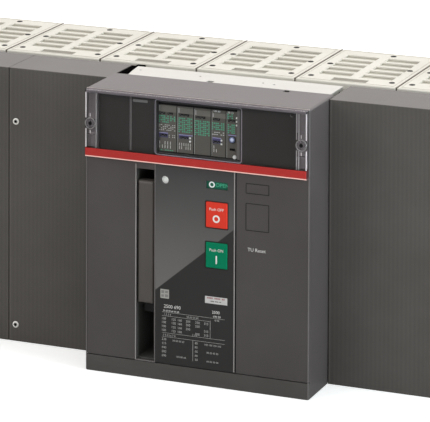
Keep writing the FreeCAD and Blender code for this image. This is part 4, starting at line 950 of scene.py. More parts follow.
@dataclass
class Piece:
    """One mesh in the making.

    Args:
        name: The piece's name.
        body: The CAD body that it rides on.
        finish: The finish that it is given.
        mesh: The mesh.
    """

    name: str
    body: Body
    finish: str
    mesh: bmesh.types.BMesh = field(default_factory=bmesh.new)

    def bar(self, low: Vector, high: Vector, bevel: float = 0.0) -> None:
        """Adds a bar between two corners.

        Args:
            low: Its lowest corner.
            high: Its highest corner.
            bevel: The radius of its edges.
        """
        matrix = Matrix.Translation((low + high) / 2) @ Matrix.Diagonal((*(high - low), 1.0))
        made = bmesh.ops.create_cube(self.mesh, size=1.0, matrix=matrix)["verts"]
        if bevel:
            edges = list({edge for vert in made for edge in vert.link_edges})
            bmesh.ops.bevel(self.mesh, geom=edges, offset=bevel, segments=2, profile=0.5, affect="EDGES",
                            material=-1, clamp_overlap=True)

    def _lift(self, faces: list[bmesh.types.BMFace], by: float) -> None:
        """Gives flat faces a thickness, forwards.

        Args:
            faces: The faces.
            by: The thickness.
        """
        lifted = bmesh.ops.extrude_face_region(self.mesh, geom=faces)["geom"]
        verts = [item for item in lifted if isinstance(item, bmesh.types.BMVert)]
        bmesh.ops.translate(self.mesh, verts=verts, vec=FORWARD * by)

    def ring(self, centre: Vector, outer: float, inner: float, thick: float) -> None:
        """Adds a flat ring that faces forwards.

        Args:
            centre: The middle of its rear face.
            outer: Its outer radius.
            inner: Its inner radius.
            thick: Its thickness.
        """
        turn = Matrix.Translation(centre) @ Matrix.Rotation(math.pi / 2, 4, "X")
        loops = [bmesh.ops.create_circle(self.mesh, segments=40, radius=radius, matrix=turn)["verts"]
                 for radius in (outer, inner)]
        edges = list({edge for loop in loops for vert in loop for edge in vert.link_edges})
        self._lift(bmesh.ops.bridge_loops(self.mesh, edges=edges)["faces"], thick)

    def rounded_frame(self, low: Vector, high: Vector, bar: float, corner: float, segments: int = 6) -> None:
        """Adds a flat frame with rounded corners that faces forwards.

        Args:
            low: Its lowest corner, on its front.
            high: Its highest corner, on its rear.
            bar: How wide its bars are.
            corner: The radius of its outer corners.
            segments: How many faces round a corner.
        """
        middle = (low + high) / 2
        matrix = (Matrix.Translation(Vector((middle.x, high.y, middle.z)))
                  @ Matrix.Diagonal((high.x - low.x, 1.0, high.z - low.z, 1.0))
                  @ Matrix.Rotation(math.pi / 2, 4, "X"))
        verts = bmesh.ops.create_grid(self.mesh, x_segments=1, y_segments=1, size=0.5, matrix=matrix)["verts"]
        made = bmesh.ops.bevel(self.mesh, geom=verts, offset=corner, segments=segments, profile=0.5,
                               affect="VERTICES", material=-1)
        around = {face for vert in made["verts"] for face in vert.link_faces}
        face = max(around, key=lambda one: one.calc_area())
        inset = bmesh.ops.inset_region(self.mesh, faces=[face], thickness=bar, use_even_offset=True,
                                       use_boundary=True)["faces"]
        bmesh.ops.delete(self.mesh, geom=[face], context="FACES")
        self._lift(inset, high.y - low.y)

    def turned(self, centre: Vector, profile: list[tuple[float, float]], axis: Vector = FORWARD,
               segments: int = 20) -> None:
        """Adds a shape turned from a profile.

        Args:
            centre: The profile's origin, on the axis.
            profile: Pairs of radius and distance along the axis.
            axis: The axis.
            segments: How many steps the full turn has.
        """
        side = axis.orthogonal().normalized()
        verts = [self.mesh.verts.new(centre + side * radius + axis * along) for radius, along in profile]
        edges = [self.mesh.edges.new(pair) for pair in zip(verts, verts[1:])]
        bmesh.ops.spin(self.mesh, geom=verts + edges, cent=centre, axis=axis, angle=2 * math.pi,
                       steps=segments, use_merge=True)

    def finish_up(self, palette: Palette) -> bpy.types.Object:
        """Makes the object, closed and facing outwards, and sets it riding.

        Args:
            palette: The finishes.

        Returns:
            The object.
        """
        bmesh.ops.remove_doubles(self.mesh, verts=self.mesh.verts, dist=1e-7)
        bmesh.ops.recalc_face_normals(self.mesh, faces=self.mesh.faces)
        data = bpy.data.meshes.new(self.name)
        self.mesh.to_mesh(data)
        self.mesh.free()
        made = bpy.data.objects.new(self.name, data)
        bpy.context.scene.collection.objects.link(made)
        data.materials.append(palette[self.finish])
        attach(made, self.body.value)
        LOG.info("piece %s: %d faces", self.name, len(data.polygons))
        return made


@dataclass(frozen=True)
class Kit:
    """What every sub-assembly works with.

    Args:
        shield: The places.
        palette: The finishes.
    """

    shield: Shield
    palette: Palette

    @contextmanager
    def piece(self, name: str, finish: str, body: Body = Body.FRAME) -> Iterator[Piece]:
        """Opens a piece, and finishes it up when its block ends.

        Args:
            name: The piece's name.
            finish: Its finish.
            body: The CAD body that it rides on.

        Yields:
            The piece.
        """
        made = Piece(name, body, finish)
        yield made
        made.finish_up(self.palette)

    def bars(self, name: str, finish: str, bevel: float, *spans: Span) -> None:
        """Makes a piece of bars on the frame.

        Args:
            name: The piece's name.
            finish: Its finish.
            bevel: The radius of the bars' edges, in metres.
            spans: Left, right, front, rear, low and high of each bar, in millimetres from the shield.
        """
        with self.piece(name, finish) as piece:
            for left, right, front, rear, low, high in spans:
                piece.bar(self.shield.at(left, front, low), self.shield.at(right, rear, high), bevel)


@dataclass(frozen=True)
class Lettering:
    """Short generic words, printed on a face that looks forwards.

    Args:
        words: The words.
        size: The letters' size, in metres.
        width: A factor on the letters' width.
    """

    words: str
    size: float
    width: float = 1.0

    def onto(self, piece: Piece, centre: Vector, thick: float = 0.00012) -> None:
        """Adds the letters to a piece.

        Args:
            piece: The piece.
            centre: The middle of the words, on the face.
            thick: How far the ink stands proud.
        """
        curve = bpy.data.curves.new("words", "FONT")
        curve.body = self.words
        curve.size = self.size
        curve.align_x = "CENTER"
        curve.align_y = "CENTER"
        curve.extrude = thick / 2
        curve.resolution_u = 3
        holder = bpy.data.objects.new("words", curve)
        flat = bpy.data.meshes.new_from_object(holder)
        turn = Matrix.Rotation(math.pi / 2, 4, "X") @ Matrix.Diagonal((self.width, 1.0, 1.0, 1.0))
        flat.transform(Matrix.Translation(centre - Vector((0, thick / 2, 0))) @ turn)
        piece.mesh.from_mesh(flat)
        bpy.data.objects.remove(holder)
        bpy.data.curves.remove(curve)
        bpy.data.meshes.remove(flat)


# ---- sub-assemblies


@dataclass
class CadDressing:
    """Gives every CAD node its finish.

    Args:
        finishes: The nodes that each finish is for, by their names or the start of them.
    """

    finishes: dict[str, tuple[str, ...]] = field(default_factory=lambda: {
        "shield_plastic": ("front_shield", "key_lock_blank", "trip_reset_button"),
        "plinth_plastic": ("plinth_strip",),
        "cover_plastic": ("left_outer_cover", "left_inner_cover", "right_cover"),
        "dark_plastic": ("module_tray", "left_module_blank", "middle_module_blank", "right_module_blank",
                         "button_guide"),
        "unit_plastic": ("trip_unit_case",),
        "bezel_plastic": ("trip_unit_bezel",),
        "black_plastic": ("dip_switch_banks",),
        "lens_rim_plastic": ("rating_plug",),
        "white_plastic": ("test_button",),
        "clear_plastic": ("window_cover",),
        "band_plastic": ("red_band",),
        "latch_chrome": ("latch_",),
        "plate_plastic": ("centre_plate",),
        "position_flag_plastic": ("position_flag",),
        "spring_flag_plastic": ("spring_flag",),
        "red_plastic": ("off_button",),
        "green_plastic": ("on_button",),
        "channel_plastic": ("lever_channel",),
        "lever_plastic": ("charging_lever",),
        "bright_screw": ("cover_screws",),
        "black_screw": ("chute_screws",),
        "spring_steel": ("button_springs", "closing_spring"),
        "machined_steel": ("cam_shaft", "spring_carriage", "pole_shaft", "coupling_links"),
        "zinc_sheet": ("mechanism_frame", "splitter_plates", "base_tray", "cross_frame", "side_frame_"),
        "copper": ("moving_contact_", "flexible_braids"),
        "silvered_copper": ("upper_terminals", "lower_terminals"),
        "resin": ("current_sensors",),
        "housing_plastic": ("pole_housing_",),
        "chute_plastic": ("arc_chute_",),
        "vent_screen": ("vent_screens",),
        "tray_paint": ("terminal_tray",),
    })

    def dress(self, frame: dict, palette: Palette) -> None:
        """Assigns the finishes to the CAD nodes' slots.

        Args:
            palette: The finishes.
        """
        for name, node in frame["nodes"].items():
            finish = next(finish for finish, starts in self.finishes.items() if name.startswith(starts))
            for slot in node.material_slots:
                slot.material = palette[finish]
            if not node.material_slots:
                node.data.materials.append(palette[finish])
            LOG.info("node %s: %s", name, finish)


@dataclass
class PlateGraphics:
    """What is printed or stuck on the centre plate and beside it, in millimetres from the shield.

    Args:
        kit: The places and the finishes.
        ink: Front and rear of printed bars.
        face: Where words lie on the plate.
        sizes: The size of the table's figures, of its second column's and of the small ones, in metres.
        rules: Height, left and right of each level line of the rating table.
        uprights: Place, low and high of each upright line.
        columns: Middle and number of each column.
        rows: The heights of the columns' rows.
        steps: Height, first and second number of each row beneath them.
        strings: Middle, height and figures of each line of small figures.
        titles: Middle, height, size and figures of each line above the table.
        squares: Left, right, low and high of each mark on the square label.
        lines: Piece, finish, left, right, low and high of each broken line on the sticker.
    """

    kit: Kit
    ink: Span = (-0.12, 0.05)
    face: float = -0.01
    sizes: Span = (0.0038, 0.0036, 0.0029)
    rules: Spans = (
        (79.3, -42.0, 36.0), (75.0, -42.0, 17.6), (55.3, -42.0, 36.0), (50.8, -42.0, 36.0))
    uprights: Spans = ((17.8, 55.6, 76.3), (-3.6, 27.0, 50.8))
    columns: tuple[tuple[float, str], ...] = (
        (-39.7, "100"), (-27.4, "125"), (-19.9, "160"), (-9.5, "200"), (2.2, "250"), (13.0, "315"))
    rows: Span = (71.8, 67.5, 62.9, 58.4)
    steps: tuple[tuple[float, str, str], ...] = (
        (47.9, "220", "85"), (43.1, "415", "85"), (38.4, "440", "66"), (33.6, "500", "66"),
        (28.8, "690", "50"))
    strings: tuple[tuple[float, float, str], ...] = (
        (-21.4, 47.4, "50 60 50 60"), (21.0, 47.6, "100 100 100 100"), (21.0, 38.6, "85 85 85 85"),
        (21.0, 28.6, "66 66 66 66"), (-18.0, 29.2, "100 85 66"), (-33.0, 52.9, "2 3 4 5 6 7 8"),
        (-4.0, 77.0, "50 60 50 60"), (-35.0, 77.0, "1 2 3 4"), (-1.0, 57.0, "3 4 5"))
    titles: tuple[tuple[float, float, float, str], ...] = (
        (-29.2, 86.2, 0.0056, "2500 690"), (-30.7, 81.2, 0.0027, "50 60 50 60 50 60"),
        (24.8, 86.3, 0.0048, "2500"), (26.2, 81.4, 0.0034, "690 50"), (26.0, 77.2, 0.0026, "12 12"))
    squares: Spans = (
        (-42.8, -39.2, 101.2, 104.6), (-38.1, -34.5, 101.6, 104.4), (-42.8, -39.6, 97.0, 99.8),
        (-38.3, -34.5, 96.8, 100.2))
    lines: tuple[tuple[str, str, float, float, float, float], ...] = (
        ("sticker_upper_line", "rose_ink", 14.0, 36.0, 101.6, 103.4),
        ("sticker_lower_line", "line_ink", 18.5, 31.5, 98.4, 99.4))

    def build(self) -> None:
        """Makes the rating table, the labels and the words."""
        self._table()
        self._labels()
        self._words()
        self._flags()

    def _write(self, piece: Piece, words: str, spot: Span, size: float, width: float = 1.0) -> None:
        """Adds words to a piece.

        Args:
            piece: The piece.
            words: The words.
            spot: Their middle: across, back and height, in millimetres.
            size: The letters' size, in metres.
            width: A factor on the letters' width.
        """
        Lettering(words, size, width).onto(piece, self.kit.shield.at(*spot))

    def _table(self) -> None:
        """Makes a rating table of rules and plain numbers, and the larger numbers over it."""
        at = self.kit.shield.at
        front, rear = self.ink
        face = self.face
        figures, second_figures, small = self.sizes
        with self.kit.piece("rating_table", "grey_ink") as piece:
            for low, left, right in self.rules:
                piece.bar(at(left, front, low), at(right, rear, low + 0.3))
            for across, low, high in self.uprights:
                piece.bar(at(across, front, low), at(across + 0.4, rear, high))
            for index, high in enumerate(self.rows):
                for number, (across, words) in enumerate(self.columns):
                    if (index + number) % 7 != 6:
                        self._write(piece, words, (across, face, high), figures)
            for high, first, second in self.steps:
                self._write(piece, first, (-39.3, face, high), figures)
                self._write(piece, second, (0.9, face, high), second_figures)
            for across, high, words in self.strings:
                self._write(piece, words, (across, face, high), small, 1.05)
        with self.kit.piece("rating_titles", "pale_ink") as piece:
            for across, high, size, words in self.titles:
                self._write(piece, words, (across, face, high), size)

    def _labels(self) -> None:
        """Makes the small square label, the paper sticker and the bare bar on the left module."""
        kit = self.kit
        kit.bars("square_label", "dim_paper", 0.00012, (-44.0, -33.3, -0.15, 0.05, 95.4, 105.9))
        kit.bars("square_label_marks", "faint_ink", 0.0,
                 *((left, right, -0.22, -0.1, low, high) for left, right, low, high in self.squares))
        kit.bars("paper_sticker", "label_paper", 0.0001, (11.4, 38.9, -0.15, 0.05, 96.2, 104.4))
        parts = 12
        for name, finish, left, right, low, high in self.lines:
            step = (right - left) / parts
            kit.bars(name, finish, 0.0,
                     *((left + number * step, left + number * step + 0.8 * step, -0.2, -0.1, low, high)
                       for number in range(parts) if number % 5 != 4))
        with kit.piece("module_mark", "faint_ink") as piece:
            piece.bar(kit.shield.at(-77.0, 1.05, 319.4), kit.shield.at(-61.2, 1.25, 322.4), 0.00008)
            piece.turned(kit.shield.at(-78.0, 1.25, 320.9), [(0.0, 0.0002), (0.0016, 0.0002), (0.0018, 0.0)])

    def _words(self) -> None:
        """Makes the generic words beside and on the buttons."""
        at = self.kit.shield.at
        with self.kit.piece("reset_word", "pale_ink") as piece:
            self._write(piece, "TU Reset", (74.5, self.face, 163.6), 0.0058, 0.98)
        with self.kit.piece("off_word", "button_ink", Body.OFF) as piece:
            self._write(piece, "Push OFF", (25.6, -1.01, 205.3), 0.0046)
            piece.ring(at(25.3, -1.0, 194.6), 0.0044, 0.0025, 0.00012)
        with self.kit.piece("on_word", "button_ink", Body.ON) as piece:
            self._write(piece, "Push ON", (25.6, -1.01, 158.3), 0.0046)
            piece.bar(at(24.8, -1.12, 142.8), at(26.4, -0.95, 152.2))

    def _flags(self) -> None:
        """Makes the signs and the generic words on the position flag."""
        at = self.kit.shield.at
        with self.kit.piece("flag_words", "white_ink", Body.FLAG) as piece:
            piece.ring(at(18.5, 2.3, 232.8), 0.0036, 0.0021, 0.00012)
            piece.bar(at(17.8, 2.18, 219.2), at(19.2, 2.35, 225.4))
        with self.kit.piece("flag_lettering", "green_ink", Body.FLAG) as piece:
            self._write(piece, "OPEN", (31.4, 2.29, 232.7), 0.0062, 1.05)
        with self.kit.piece("flag_closed_lettering", "white_ink", Body.FLAG) as piece:
            self._write(piece, "CLOSED", (30.6, 2.29, 222.4), 0.0048)


@dataclass(frozen=True)
class MarkField:
    """A field of small marks, printed in rows and columns.

    Args:
        left: Its left edge, in millimetres from the centre line.
        right: Its right edge.
        low: Its lowest height.
        high: Its highest height.
        columns: How many marks stand side by side.
        rows: How many rows it has.
        skip: One mark in this many is left out.
        fill: How much of its cell a mark fills, across and upwards.
    """

    left: float
    right: float
    low: float
    high: float
    columns: int
    rows: int
    skip: int = 6
    fill: tuple[float, float] = (0.58, 0.5)

    def onto(self, piece: Piece, shield: Shield, back: float) -> None:
        """Adds the marks to a piece.

        Args:
            piece: The piece.
            shield: The places.
            back: How far back the face lies, in millimetres.
        """
        wide, high = (self.right - self.left) / self.columns, (self.high - self.low) / self.rows
        for column in range(self.columns):
            for row in range(self.rows):
                if (column * 5 + row * 3) % self.skip == self.skip - 1:
                    continue
                across, level = self.left + column * wide, self.low + row * high
                piece.bar(shield.at(across, back - 0.12, level),
                          shield.at(across + self.fill[0] * wide, back + 0.02, level + self.fill[1] * high))


@dataclass
class TripUnitFace:
    """The trip unit's face: outline, dividers, headers, setting marks, lights and sliders.

    Args:
        kit: The places and the finishes.
        back: How far back the face lies, in millimetres.
        frame_back: How far back the bezel's front lies.
        sunk: How far bars and lights reach into the face.
        spacing: The sliders' pitch, nearly.
        sides: Left and right of the bars above and below the columns.
        dividers: Where the upright lines are, in millimetres from the centre line.
        headers: Left, right, low and high of each column's header.
        numbers: Middle and numbers of each pair of headings.
        green: The fields of green marks.
        pale: The fields of pale marks.
        lines: Left, right and height of each lilac line.
        boxes: Left, right, low and high of each violet box.
        lights: Places of the status lights.
        banks: Middle, height and width of each block of setting switches.
        lens: The middle of the round light.
    """

    kit: Kit
    back: float = 7.0
    frame_back: float = 2.6
    sunk: float = 0.02
    spacing: float = 1.7
    sides: Span = (-49.7, 49.0)
    dividers: Span = (-26.9, -6.0, 15.5, 33.9)
    headers: Spans = (
        (-49.6, -27.9, 309.9, 317.2), (-25.5, -6.8, 309.9, 316.2), (-4.6, 14.8, 309.4, 315.6),
        (16.9, 33.2, 308.8, 314.4))
    numbers: tuple[tuple[float, str], ...] = ((22.4, "100 60"), (39.4, "50 12"))
    green: tuple[MarkField, ...] = (
        MarkField(-49.2, -36.6, 297.6, 306.6, 6, 4), MarkField(-35.2, -28.4, 299.8, 306.2, 3, 3),
        MarkField(-24.8, -7.4, 288.4, 306.0, 8, 8), MarkField(-4.8, 14.2, 287.0, 304.8, 9, 8),
        MarkField(16.4, 32.4, 295.4, 304.4, 7, 4), MarkField(35.6, 43.0, 309.6, 316.0, 3, 3),
        MarkField(36.0, 45.2, 293.0, 304.2, 4, 5), MarkField(-47.0, -30.4, 265.2, 266.9, 6, 1))
    pale: tuple[MarkField, ...] = (
        MarkField(-49.2, -28.2, 288.4, 296.4, 9, 4, 4, (0.6, 0.35)),
        MarkField(16.8, 32.4, 289.4, 294.2, 6, 2, 4, (0.6, 0.35)),
        MarkField(-48.8, -32.0, 267.8, 276.6, 5, 2, 9, (0.22, 0.84)),
        MarkField(-24.0, -7.8, 268.6, 276.6, 6, 2, 11, (0.22, 0.84)),
        MarkField(18.6, 24.6, 269.4, 277.6, 2, 2, 9, (0.22, 0.84)),
        MarkField(-37.0, -28.4, 280.6, 284.8, 4, 2, 3, (0.5, 0.4)))
    lines: Spans = (
        (-49.2, -38.0, 285.0), (-24.6, -7.4, 284.8), (17.2, 27.8, 285.4), (36.4, 46.4, 290.2))
    boxes: Spans = (
        (-49.2, -38.2, 280.2, 284.9), (-24.4, -12.8, 280.6, 284.6), (17.2, 27.2, 279.4, 285.2))
    lights: Spans = (
        (-10.6, 282.2), (-10.6, 278.4), (28.2, 283.4), (28.2, 279.2), (46.9, 311.0), (46.9, 306.8),
        (46.9, 302.6))
    banks: Spans = (
        (-44.8, 308.6, 6.5), (-35.1, 308.6, 5.6), (-17.5, 308.5, 11.1), (2.5, 307.7, 11.1),
        (22.3, 307.5, 7.4), (41.1, 307.5, 8.1), (-43.1, 283.1, 7.9), (-17.8, 282.4, 9.2), (22.4, 281.7, 8.2))
    lens: Span = (41.7, 285.87)

    def _bar(self, piece: Piece, span: Span, proud: float, bevel: float = 0.0) -> None:
        """Adds a bar that stands on the face.

        Args:
            piece: The piece.
            span: Its left, right, low and high, in millimetres.
            proud: How far it stands proud, in millimetres.
            bevel: The radius of its edges, in metres.
        """
        left, right, low, high = span
        at = self.kit.shield.at
        piece.bar(at(left, self.back - proud, low), at(right, self.back + self.sunk, high), bevel)

    def build(self) -> None:
        """Makes the face's pieces."""
        self._outline()
        self._panel()
        self._marks()
        self._lights()
        self._sliders()

    def _outline(self) -> None:
        """Makes the bezel's pale outline and the broad bar inside its right side, both pale as painted highlights
        along the bezel's edges.
        """
        low, high = (Vector(corner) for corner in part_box("trip_unit_bezel"))
        face = self.kit.shield.at(0, self.frame_back, 0).y
        with self.kit.piece("bezel_outline", "bezel_edge_highlight") as piece:
            piece.rounded_frame(Vector((low.x + 0.0002, face - 0.0002, low.z + 0.0004)),
                                Vector((high.x - 0.0004, face + 0.0003, high.z - 0.0002)), 0.0011, 0.0038)
        self.kit.bars("bezel_inner_bar", "edge_highlight", 0.0003,
                      (48.9, 53.2, self.frame_back + 0.2, self.back, 264.4, 321.2))

    def _panel(self) -> None:
        """Makes the dark bars above and below the columns, the dividers and the headers."""
        with self.kit.piece("unit_dividers", "black_plastic") as piece:
            for across in self.dividers:
                self._bar(piece, (across - 0.45, across + 0.45, 264.4, 318.4), 0.5)
            self._bar(piece, (*self.sides, 318.2, 321.6), 0.9, 0.0002)
            self._bar(piece, (*self.sides, 263.4, 264.3), 0.9, 0.0002)
        with self.kit.piece("unit_divider_edges", "grey_ink") as piece:
            for across in self.dividers:
                self._bar(piece, (across + 0.65, across + 1.15, 264.6, 316.8), 0.3)
            for left, _, low, high in self.headers:
                self._bar(piece, (left + 0.5, left + 1.7, low + 0.8, high - 0.2), 0.3)
        with self.kit.piece("unit_header_strips", "panel_ink") as piece:
            for header in self.headers:
                self._bar(piece, header, 0.1)
        with self.kit.piece("unit_header_numbers", "white_ink") as piece:
            for across, words in self.numbers:
                Lettering(words, 0.0028, 1.1).onto(piece, self.kit.shield.at(across, self.back, 316.4))

    def _marks(self) -> None:
        """Makes the fields of setting marks, the lilac lines and the violet boxes."""
        for name, finish, fields in (("unit_green_marks", "green_ink", self.green),
                                     ("unit_pale_marks", "pale_ink", self.pale)):
            with self.kit.piece(name, finish) as piece:
                for marks in fields:
                    marks.onto(piece, self.kit.shield, self.back)
        with self.kit.piece("unit_lines", "lilac_ink") as piece:
            for left, right, high in self.lines:
                self._bar(piece, (left, right, high, high + 0.8), 0.14)
        with self.kit.piece("unit_boxes", "violet_ink") as piece:
            for box in self.boxes:
                self._bar(piece, box, 0.08)

    def _lights(self) -> None:
        """Makes the small status lights, and the domed round light with its dark ring."""
        at = self.kit.shield.at
        with self.kit.piece("unit_lights", "white_plastic") as piece:
            for across, high in self.lights:
                piece.turned(at(across, self.back + self.sunk, high),
                             [(0.0, 0.001), (0.0009, 0.0008), (0.0012, 0.0)], segments=14)
        across, high = self.lens
        with self.kit.piece("round_light_ring", "line_ink") as piece:
            piece.ring(at(across, self.back + self.sunk, high), 0.0043, 0.0034, 0.0012)
        middle = at(across, 0, high)
        middle.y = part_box("rating_plug")[0][1] + 0.0001
        with self.kit.piece("round_light_dome", "lens_plastic") as piece:
            piece.turned(middle, [(0.0, 0.0011), (0.001, 0.0009), (0.0018, 0.0005), (0.0022, 0.0)],
                         segments=28)

    def _sliders(self) -> None:
        """Makes the sliders in the switch blocks."""
        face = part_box("dip_switch_banks")[0][1]
        half = 0.0003
        with self.kit.piece("unit_sliders", "faint_ink") as piece:
            for across, high, wide in self.banks:
                count = max(3, round(wide / self.spacing))
                for step in range(count):
                    aside = (step - (count - 1) / 2) * wide / (count + 0.4)
                    spot = self.kit.shield.at(across + aside, 0, high)
                    spot.y = face
                    low = -0.0008 if step % 3 else -0.0001
                    piece.bar(spot + Vector((-half, -0.0003, low)),
                              spot + Vector((half, 0.0002, low + 0.0009)))


@dataclass
class WindowTrim:
    """Painted highlights along the window cover's edges, its end strips and the collars round its latches.

    Args:
        kit: The places and the finishes.
        edges: Middle and width of each narrow painted highlight line, in millimetres from the centre line.
        bright: Middle and width of each bright painted highlight line.
        strips: Left and right of each end strip.
        low: The lines' lowest height.
        high: Their highest height.
        latch: How far each latch stands from the centre line.
        latch_high: The latches' height.
        latch_room: The radius kept clear round a latch's head.
        stem_room: The radius kept clear round its stem.
        depth: Where the lines' front and rear lie, in millimetres behind the shield's face.
        strip_depth: Where the strips' front and rear lie.
        bevel: The radius of the bars' edges, in metres.
        collar: A collar's outer radius, inner radius and thickness.
        glint: How far a glint's middle lies above or below its latch, half its length and half its width.
    """

    kit: Kit
    edges: Spans = ((-122.8, 1.0), (124.5, 0.9), (127.2, 0.8))
    bright: Spans = ((-135.7, 1.4), (136.1, 0.9))
    strips: Spans = ((-134.6, -123.4), (123.2, 135.4))
    low: float = 263.0
    high: float = 327.0
    latch: float = 130.2
    latch_high: float = 291.0
    latch_room: float = 6.2
    stem_room: float = 4.2
    depth: Span = (-6.9, -5.4)
    strip_depth: Span = (-1.2, -0.5)
    bevel: float = 0.0002
    collar: Span = (0.0066, 0.0059, 0.0006)
    glint: Span = (0.0098, 0.002, 0.0005)

    def _upright(self, piece: Piece, sides: Span, depth: Span, room: float) -> None:
        """Adds an upright bar, in two lengths where a latch's head or stem passes through it.

        Args:
            piece: The piece.
            sides: The bar's left and right, in millimetres from the centre line.
            depth: Where its front and its rear lie.
            room: The radius that is kept clear round a latch.
        """
        at = self.kit.shield.at
        left, right = sides
        front, rear = depth
        middle = self.latch if left > 0 else -self.latch
        if right < middle - room or left > middle + room:
            piece.bar(at(left, front, self.low), at(right, rear, self.high), self.bevel)
            return
        under, over = self.latch_high - room, self.latch_high + room
        piece.bar(at(left, front, self.low), at(right, rear, under), self.bevel)
        piece.bar(at(left, front, over), at(right, rear, self.high), self.bevel)
        for start, end in ((left, middle - room), (middle + room, right)):
            if end > start + 0.5:
                piece.bar(at(start, front, under), at(end, rear, over))

    def build(self) -> None:
        """Makes the painted highlight lines, the strips and the collars."""
        at = self.kit.shield.at
        for name, finish, lines in (("window_edge_highlights", "pale_trim_and_highlight", self.edges),
                                    ("window_bright_highlights", "bright_highlight", self.bright)):
            with self.kit.piece(name, finish, Body.WINDOW) as piece:
                for across, wide in lines:
                    sides = (across - wide / 2, across + wide / 2)
                    self._upright(piece, sides, self.depth, self.latch_room)
        # A painted highlight along the cover's top edge.
        with self.kit.piece("window_top_highlight", "window_edge_highlight", Body.WINDOW) as piece:
            piece.bar(at(-135.4, -6.9, self.high - 0.2), at(135.6, -6.0, 329.6), 0.0003)
            piece.bar(at(-135.4, -6.4, 328.8), at(135.6, -0.3, 329.96), 0.0002)
        with self.kit.piece("window_end_strips", "latch_strip", Body.WINDOW) as piece:
            for sides in self.strips:
                self._upright(piece, sides, self.strip_depth, self.stem_room)
        self._latches()

    def _latches(self) -> None:
        """Makes the collars, the glints above and below each latch, and the pits in the latches' heads."""
        away, long, half = self.glint
        with (self.kit.piece("latch_glints", "bright_highlight", Body.WINDOW) as glints,
              self.kit.piece("latch_collars", "pale_trim_and_highlight", Body.WINDOW) as collars):
            for side, body in ((Side.LEFT, Body.LATCH_LEFT), (Side.RIGHT, Body.LATCH_RIGHT)):
                across = side.value * self.latch
                middle = self.kit.shield.at(across, -6.3, self.latch_high)
                collars.ring(middle, *self.collar)
                for way in (-1, 1):
                    glints.bar(middle + Vector((-half, -half, way * away - long)),
                               middle + Vector((half, 0, way * away + long)), self.bevel)
                with self.kit.piece(f"latch_pit_{side.name.lower()}", "black_plastic", body) as pit:
                    pit.turned(self.kit.shield.at(across, -6.9, self.latch_high),
                               [(0.0, 0.00008), (0.0022, 0.00008), (0.0023, -0.00005)], segments=24)


@dataclass
class ShieldTrim:
    """The shield's painted edge highlights, along the channel, the plate and the corners, and its dark seams.

    Args:
        kit: The places and the finishes.
        flange: How far the hidden flanges of the blank and the reset button reach past their openings.
        seam: How wide the dark seams are.
        corner: The radius of the corners of the seams round the blank and the reset button.
        raised: How far the seams' front and rear stand proud of the face.
        buttons: The heights of the push buttons' middles, in millimetres.
        reach: How far the seams round a button reach above and below its middle, in millimetres.
        sides: The left and right of the seams round a button.
    """

    kit: Kit
    flange: float = 0.002
    seam: float = 0.0008
    corner: float = 0.0009
    raised: Span = (0.00012, 0.00002)
    buttons: Span = (198.8, 152.3)
    reach: float = 15.9
    sides: Span = (11.1, 39.9)

    def build(self) -> None:
        """Makes the painted highlights along the channel's rim, the plate's edge, the corners, the head and the
        modules' divider, and the seams.
        """
        bars = self.kit.bars
        # The pale bars are painted highlights along edges.
        bars("channel_rim_highlight", "edge_highlight", 0.0002,
             (-75.7, -51.8, -0.25, 0.4, 19.2, 20.6), (-51.7, -50.6, -0.25, 0.4, 19.2, 250.4))
        bars("channel_left_highlight", "pale_trim_and_highlight", 0.0002, (-75.7, -74.6, -0.25, 0.4, 19.8, 248.0))
        bars("channel_lip", "shield_plastic", 0.0004, (-74.5, -51.7, 0.05, 2.5, 242.8, 247.4))
        bars("plate_edge_highlight", "pale_trim_and_highlight", 0.0002, (46.5, 47.9, -0.1, 1.5, 20.0, 250.6))
        bars("plate_edge_seam", "black_plastic", 0.0001, (48.2, 49.7, -0.08, 0.3, 20.0, 250.6))
        self._seams()
        self._cover_edges()
        bars("shield_corner_highlights", "edge_highlight", 0.0002,
             (-137.9, -137.0, -0.12, 0.4, 0.4, 251.8), (136.6, 137.9, -0.12, 0.4, 0.4, 251.8))
        bars("shield_head_highlight", "head_highlight", 0.0002, (-137.6, 137.6, -0.24, 0.7, 330.0, 330.98))
        bars("module_divider_highlight", "edge_highlight", 0.0002, (-83.5, -81.3, 0.9, 1.6, 262.8, 324.6))
        with self.kit.piece("module_rivet", "pale_trim_and_highlight") as piece:
            piece.turned(self.kit.shield.at(116.2, 1.25, 322.4),
                         [(0.0, 0.0005), (0.0016, 0.0004), (0.0022, 0.0)])

    def _seams(self) -> None:
        """Makes the dark seams round the blank, the reset button and the push buttons."""
        at = self.kit.shield.at
        front, rear = (at(0, 0, 0).y - proud for proud in self.raised)
        inset = self.flange - self.seam
        with self.kit.piece("panel_seams", "shadow_ink") as piece:
            for name in ("key_lock_blank", "trip_reset_button"):
                low, high = (Vector(corner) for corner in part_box(name))
                piece.rounded_frame(Vector((low.x + inset, front, low.z + inset)),
                                    Vector((high.x - inset, rear, high.z - inset)), self.seam, self.corner, 4)
        with self.kit.piece("button_seams", "shadow_ink") as piece:
            for middle in self.buttons:
                low, high = (at(side, 0, middle + way * self.reach) for side, way in zip(self.sides, (-1, 1)))
                piece.rounded_frame(Vector((low.x, front, low.z)), Vector((high.x, rear, high.z)),
                                    self.seam, 2 * self.seam, 4)

    def _cover_edges(self) -> None:
        """Makes the painted highlight along the left edge of the inner cover and of the right one."""
        with self.kit.piece("cover_edge_highlights", "cover_edge_highlight") as piece:
            for name in ("left_inner_cover", "right_cover"):
                low, high = (Vector(corner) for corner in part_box(name))
                piece.bar(Vector((low.x + 0.0012, low.y - 0.00012, low.z + MM)),
                          Vector((low.x + 0.0022, low.y + 0.0003, high.z - 2 * MM)), 0.0001)


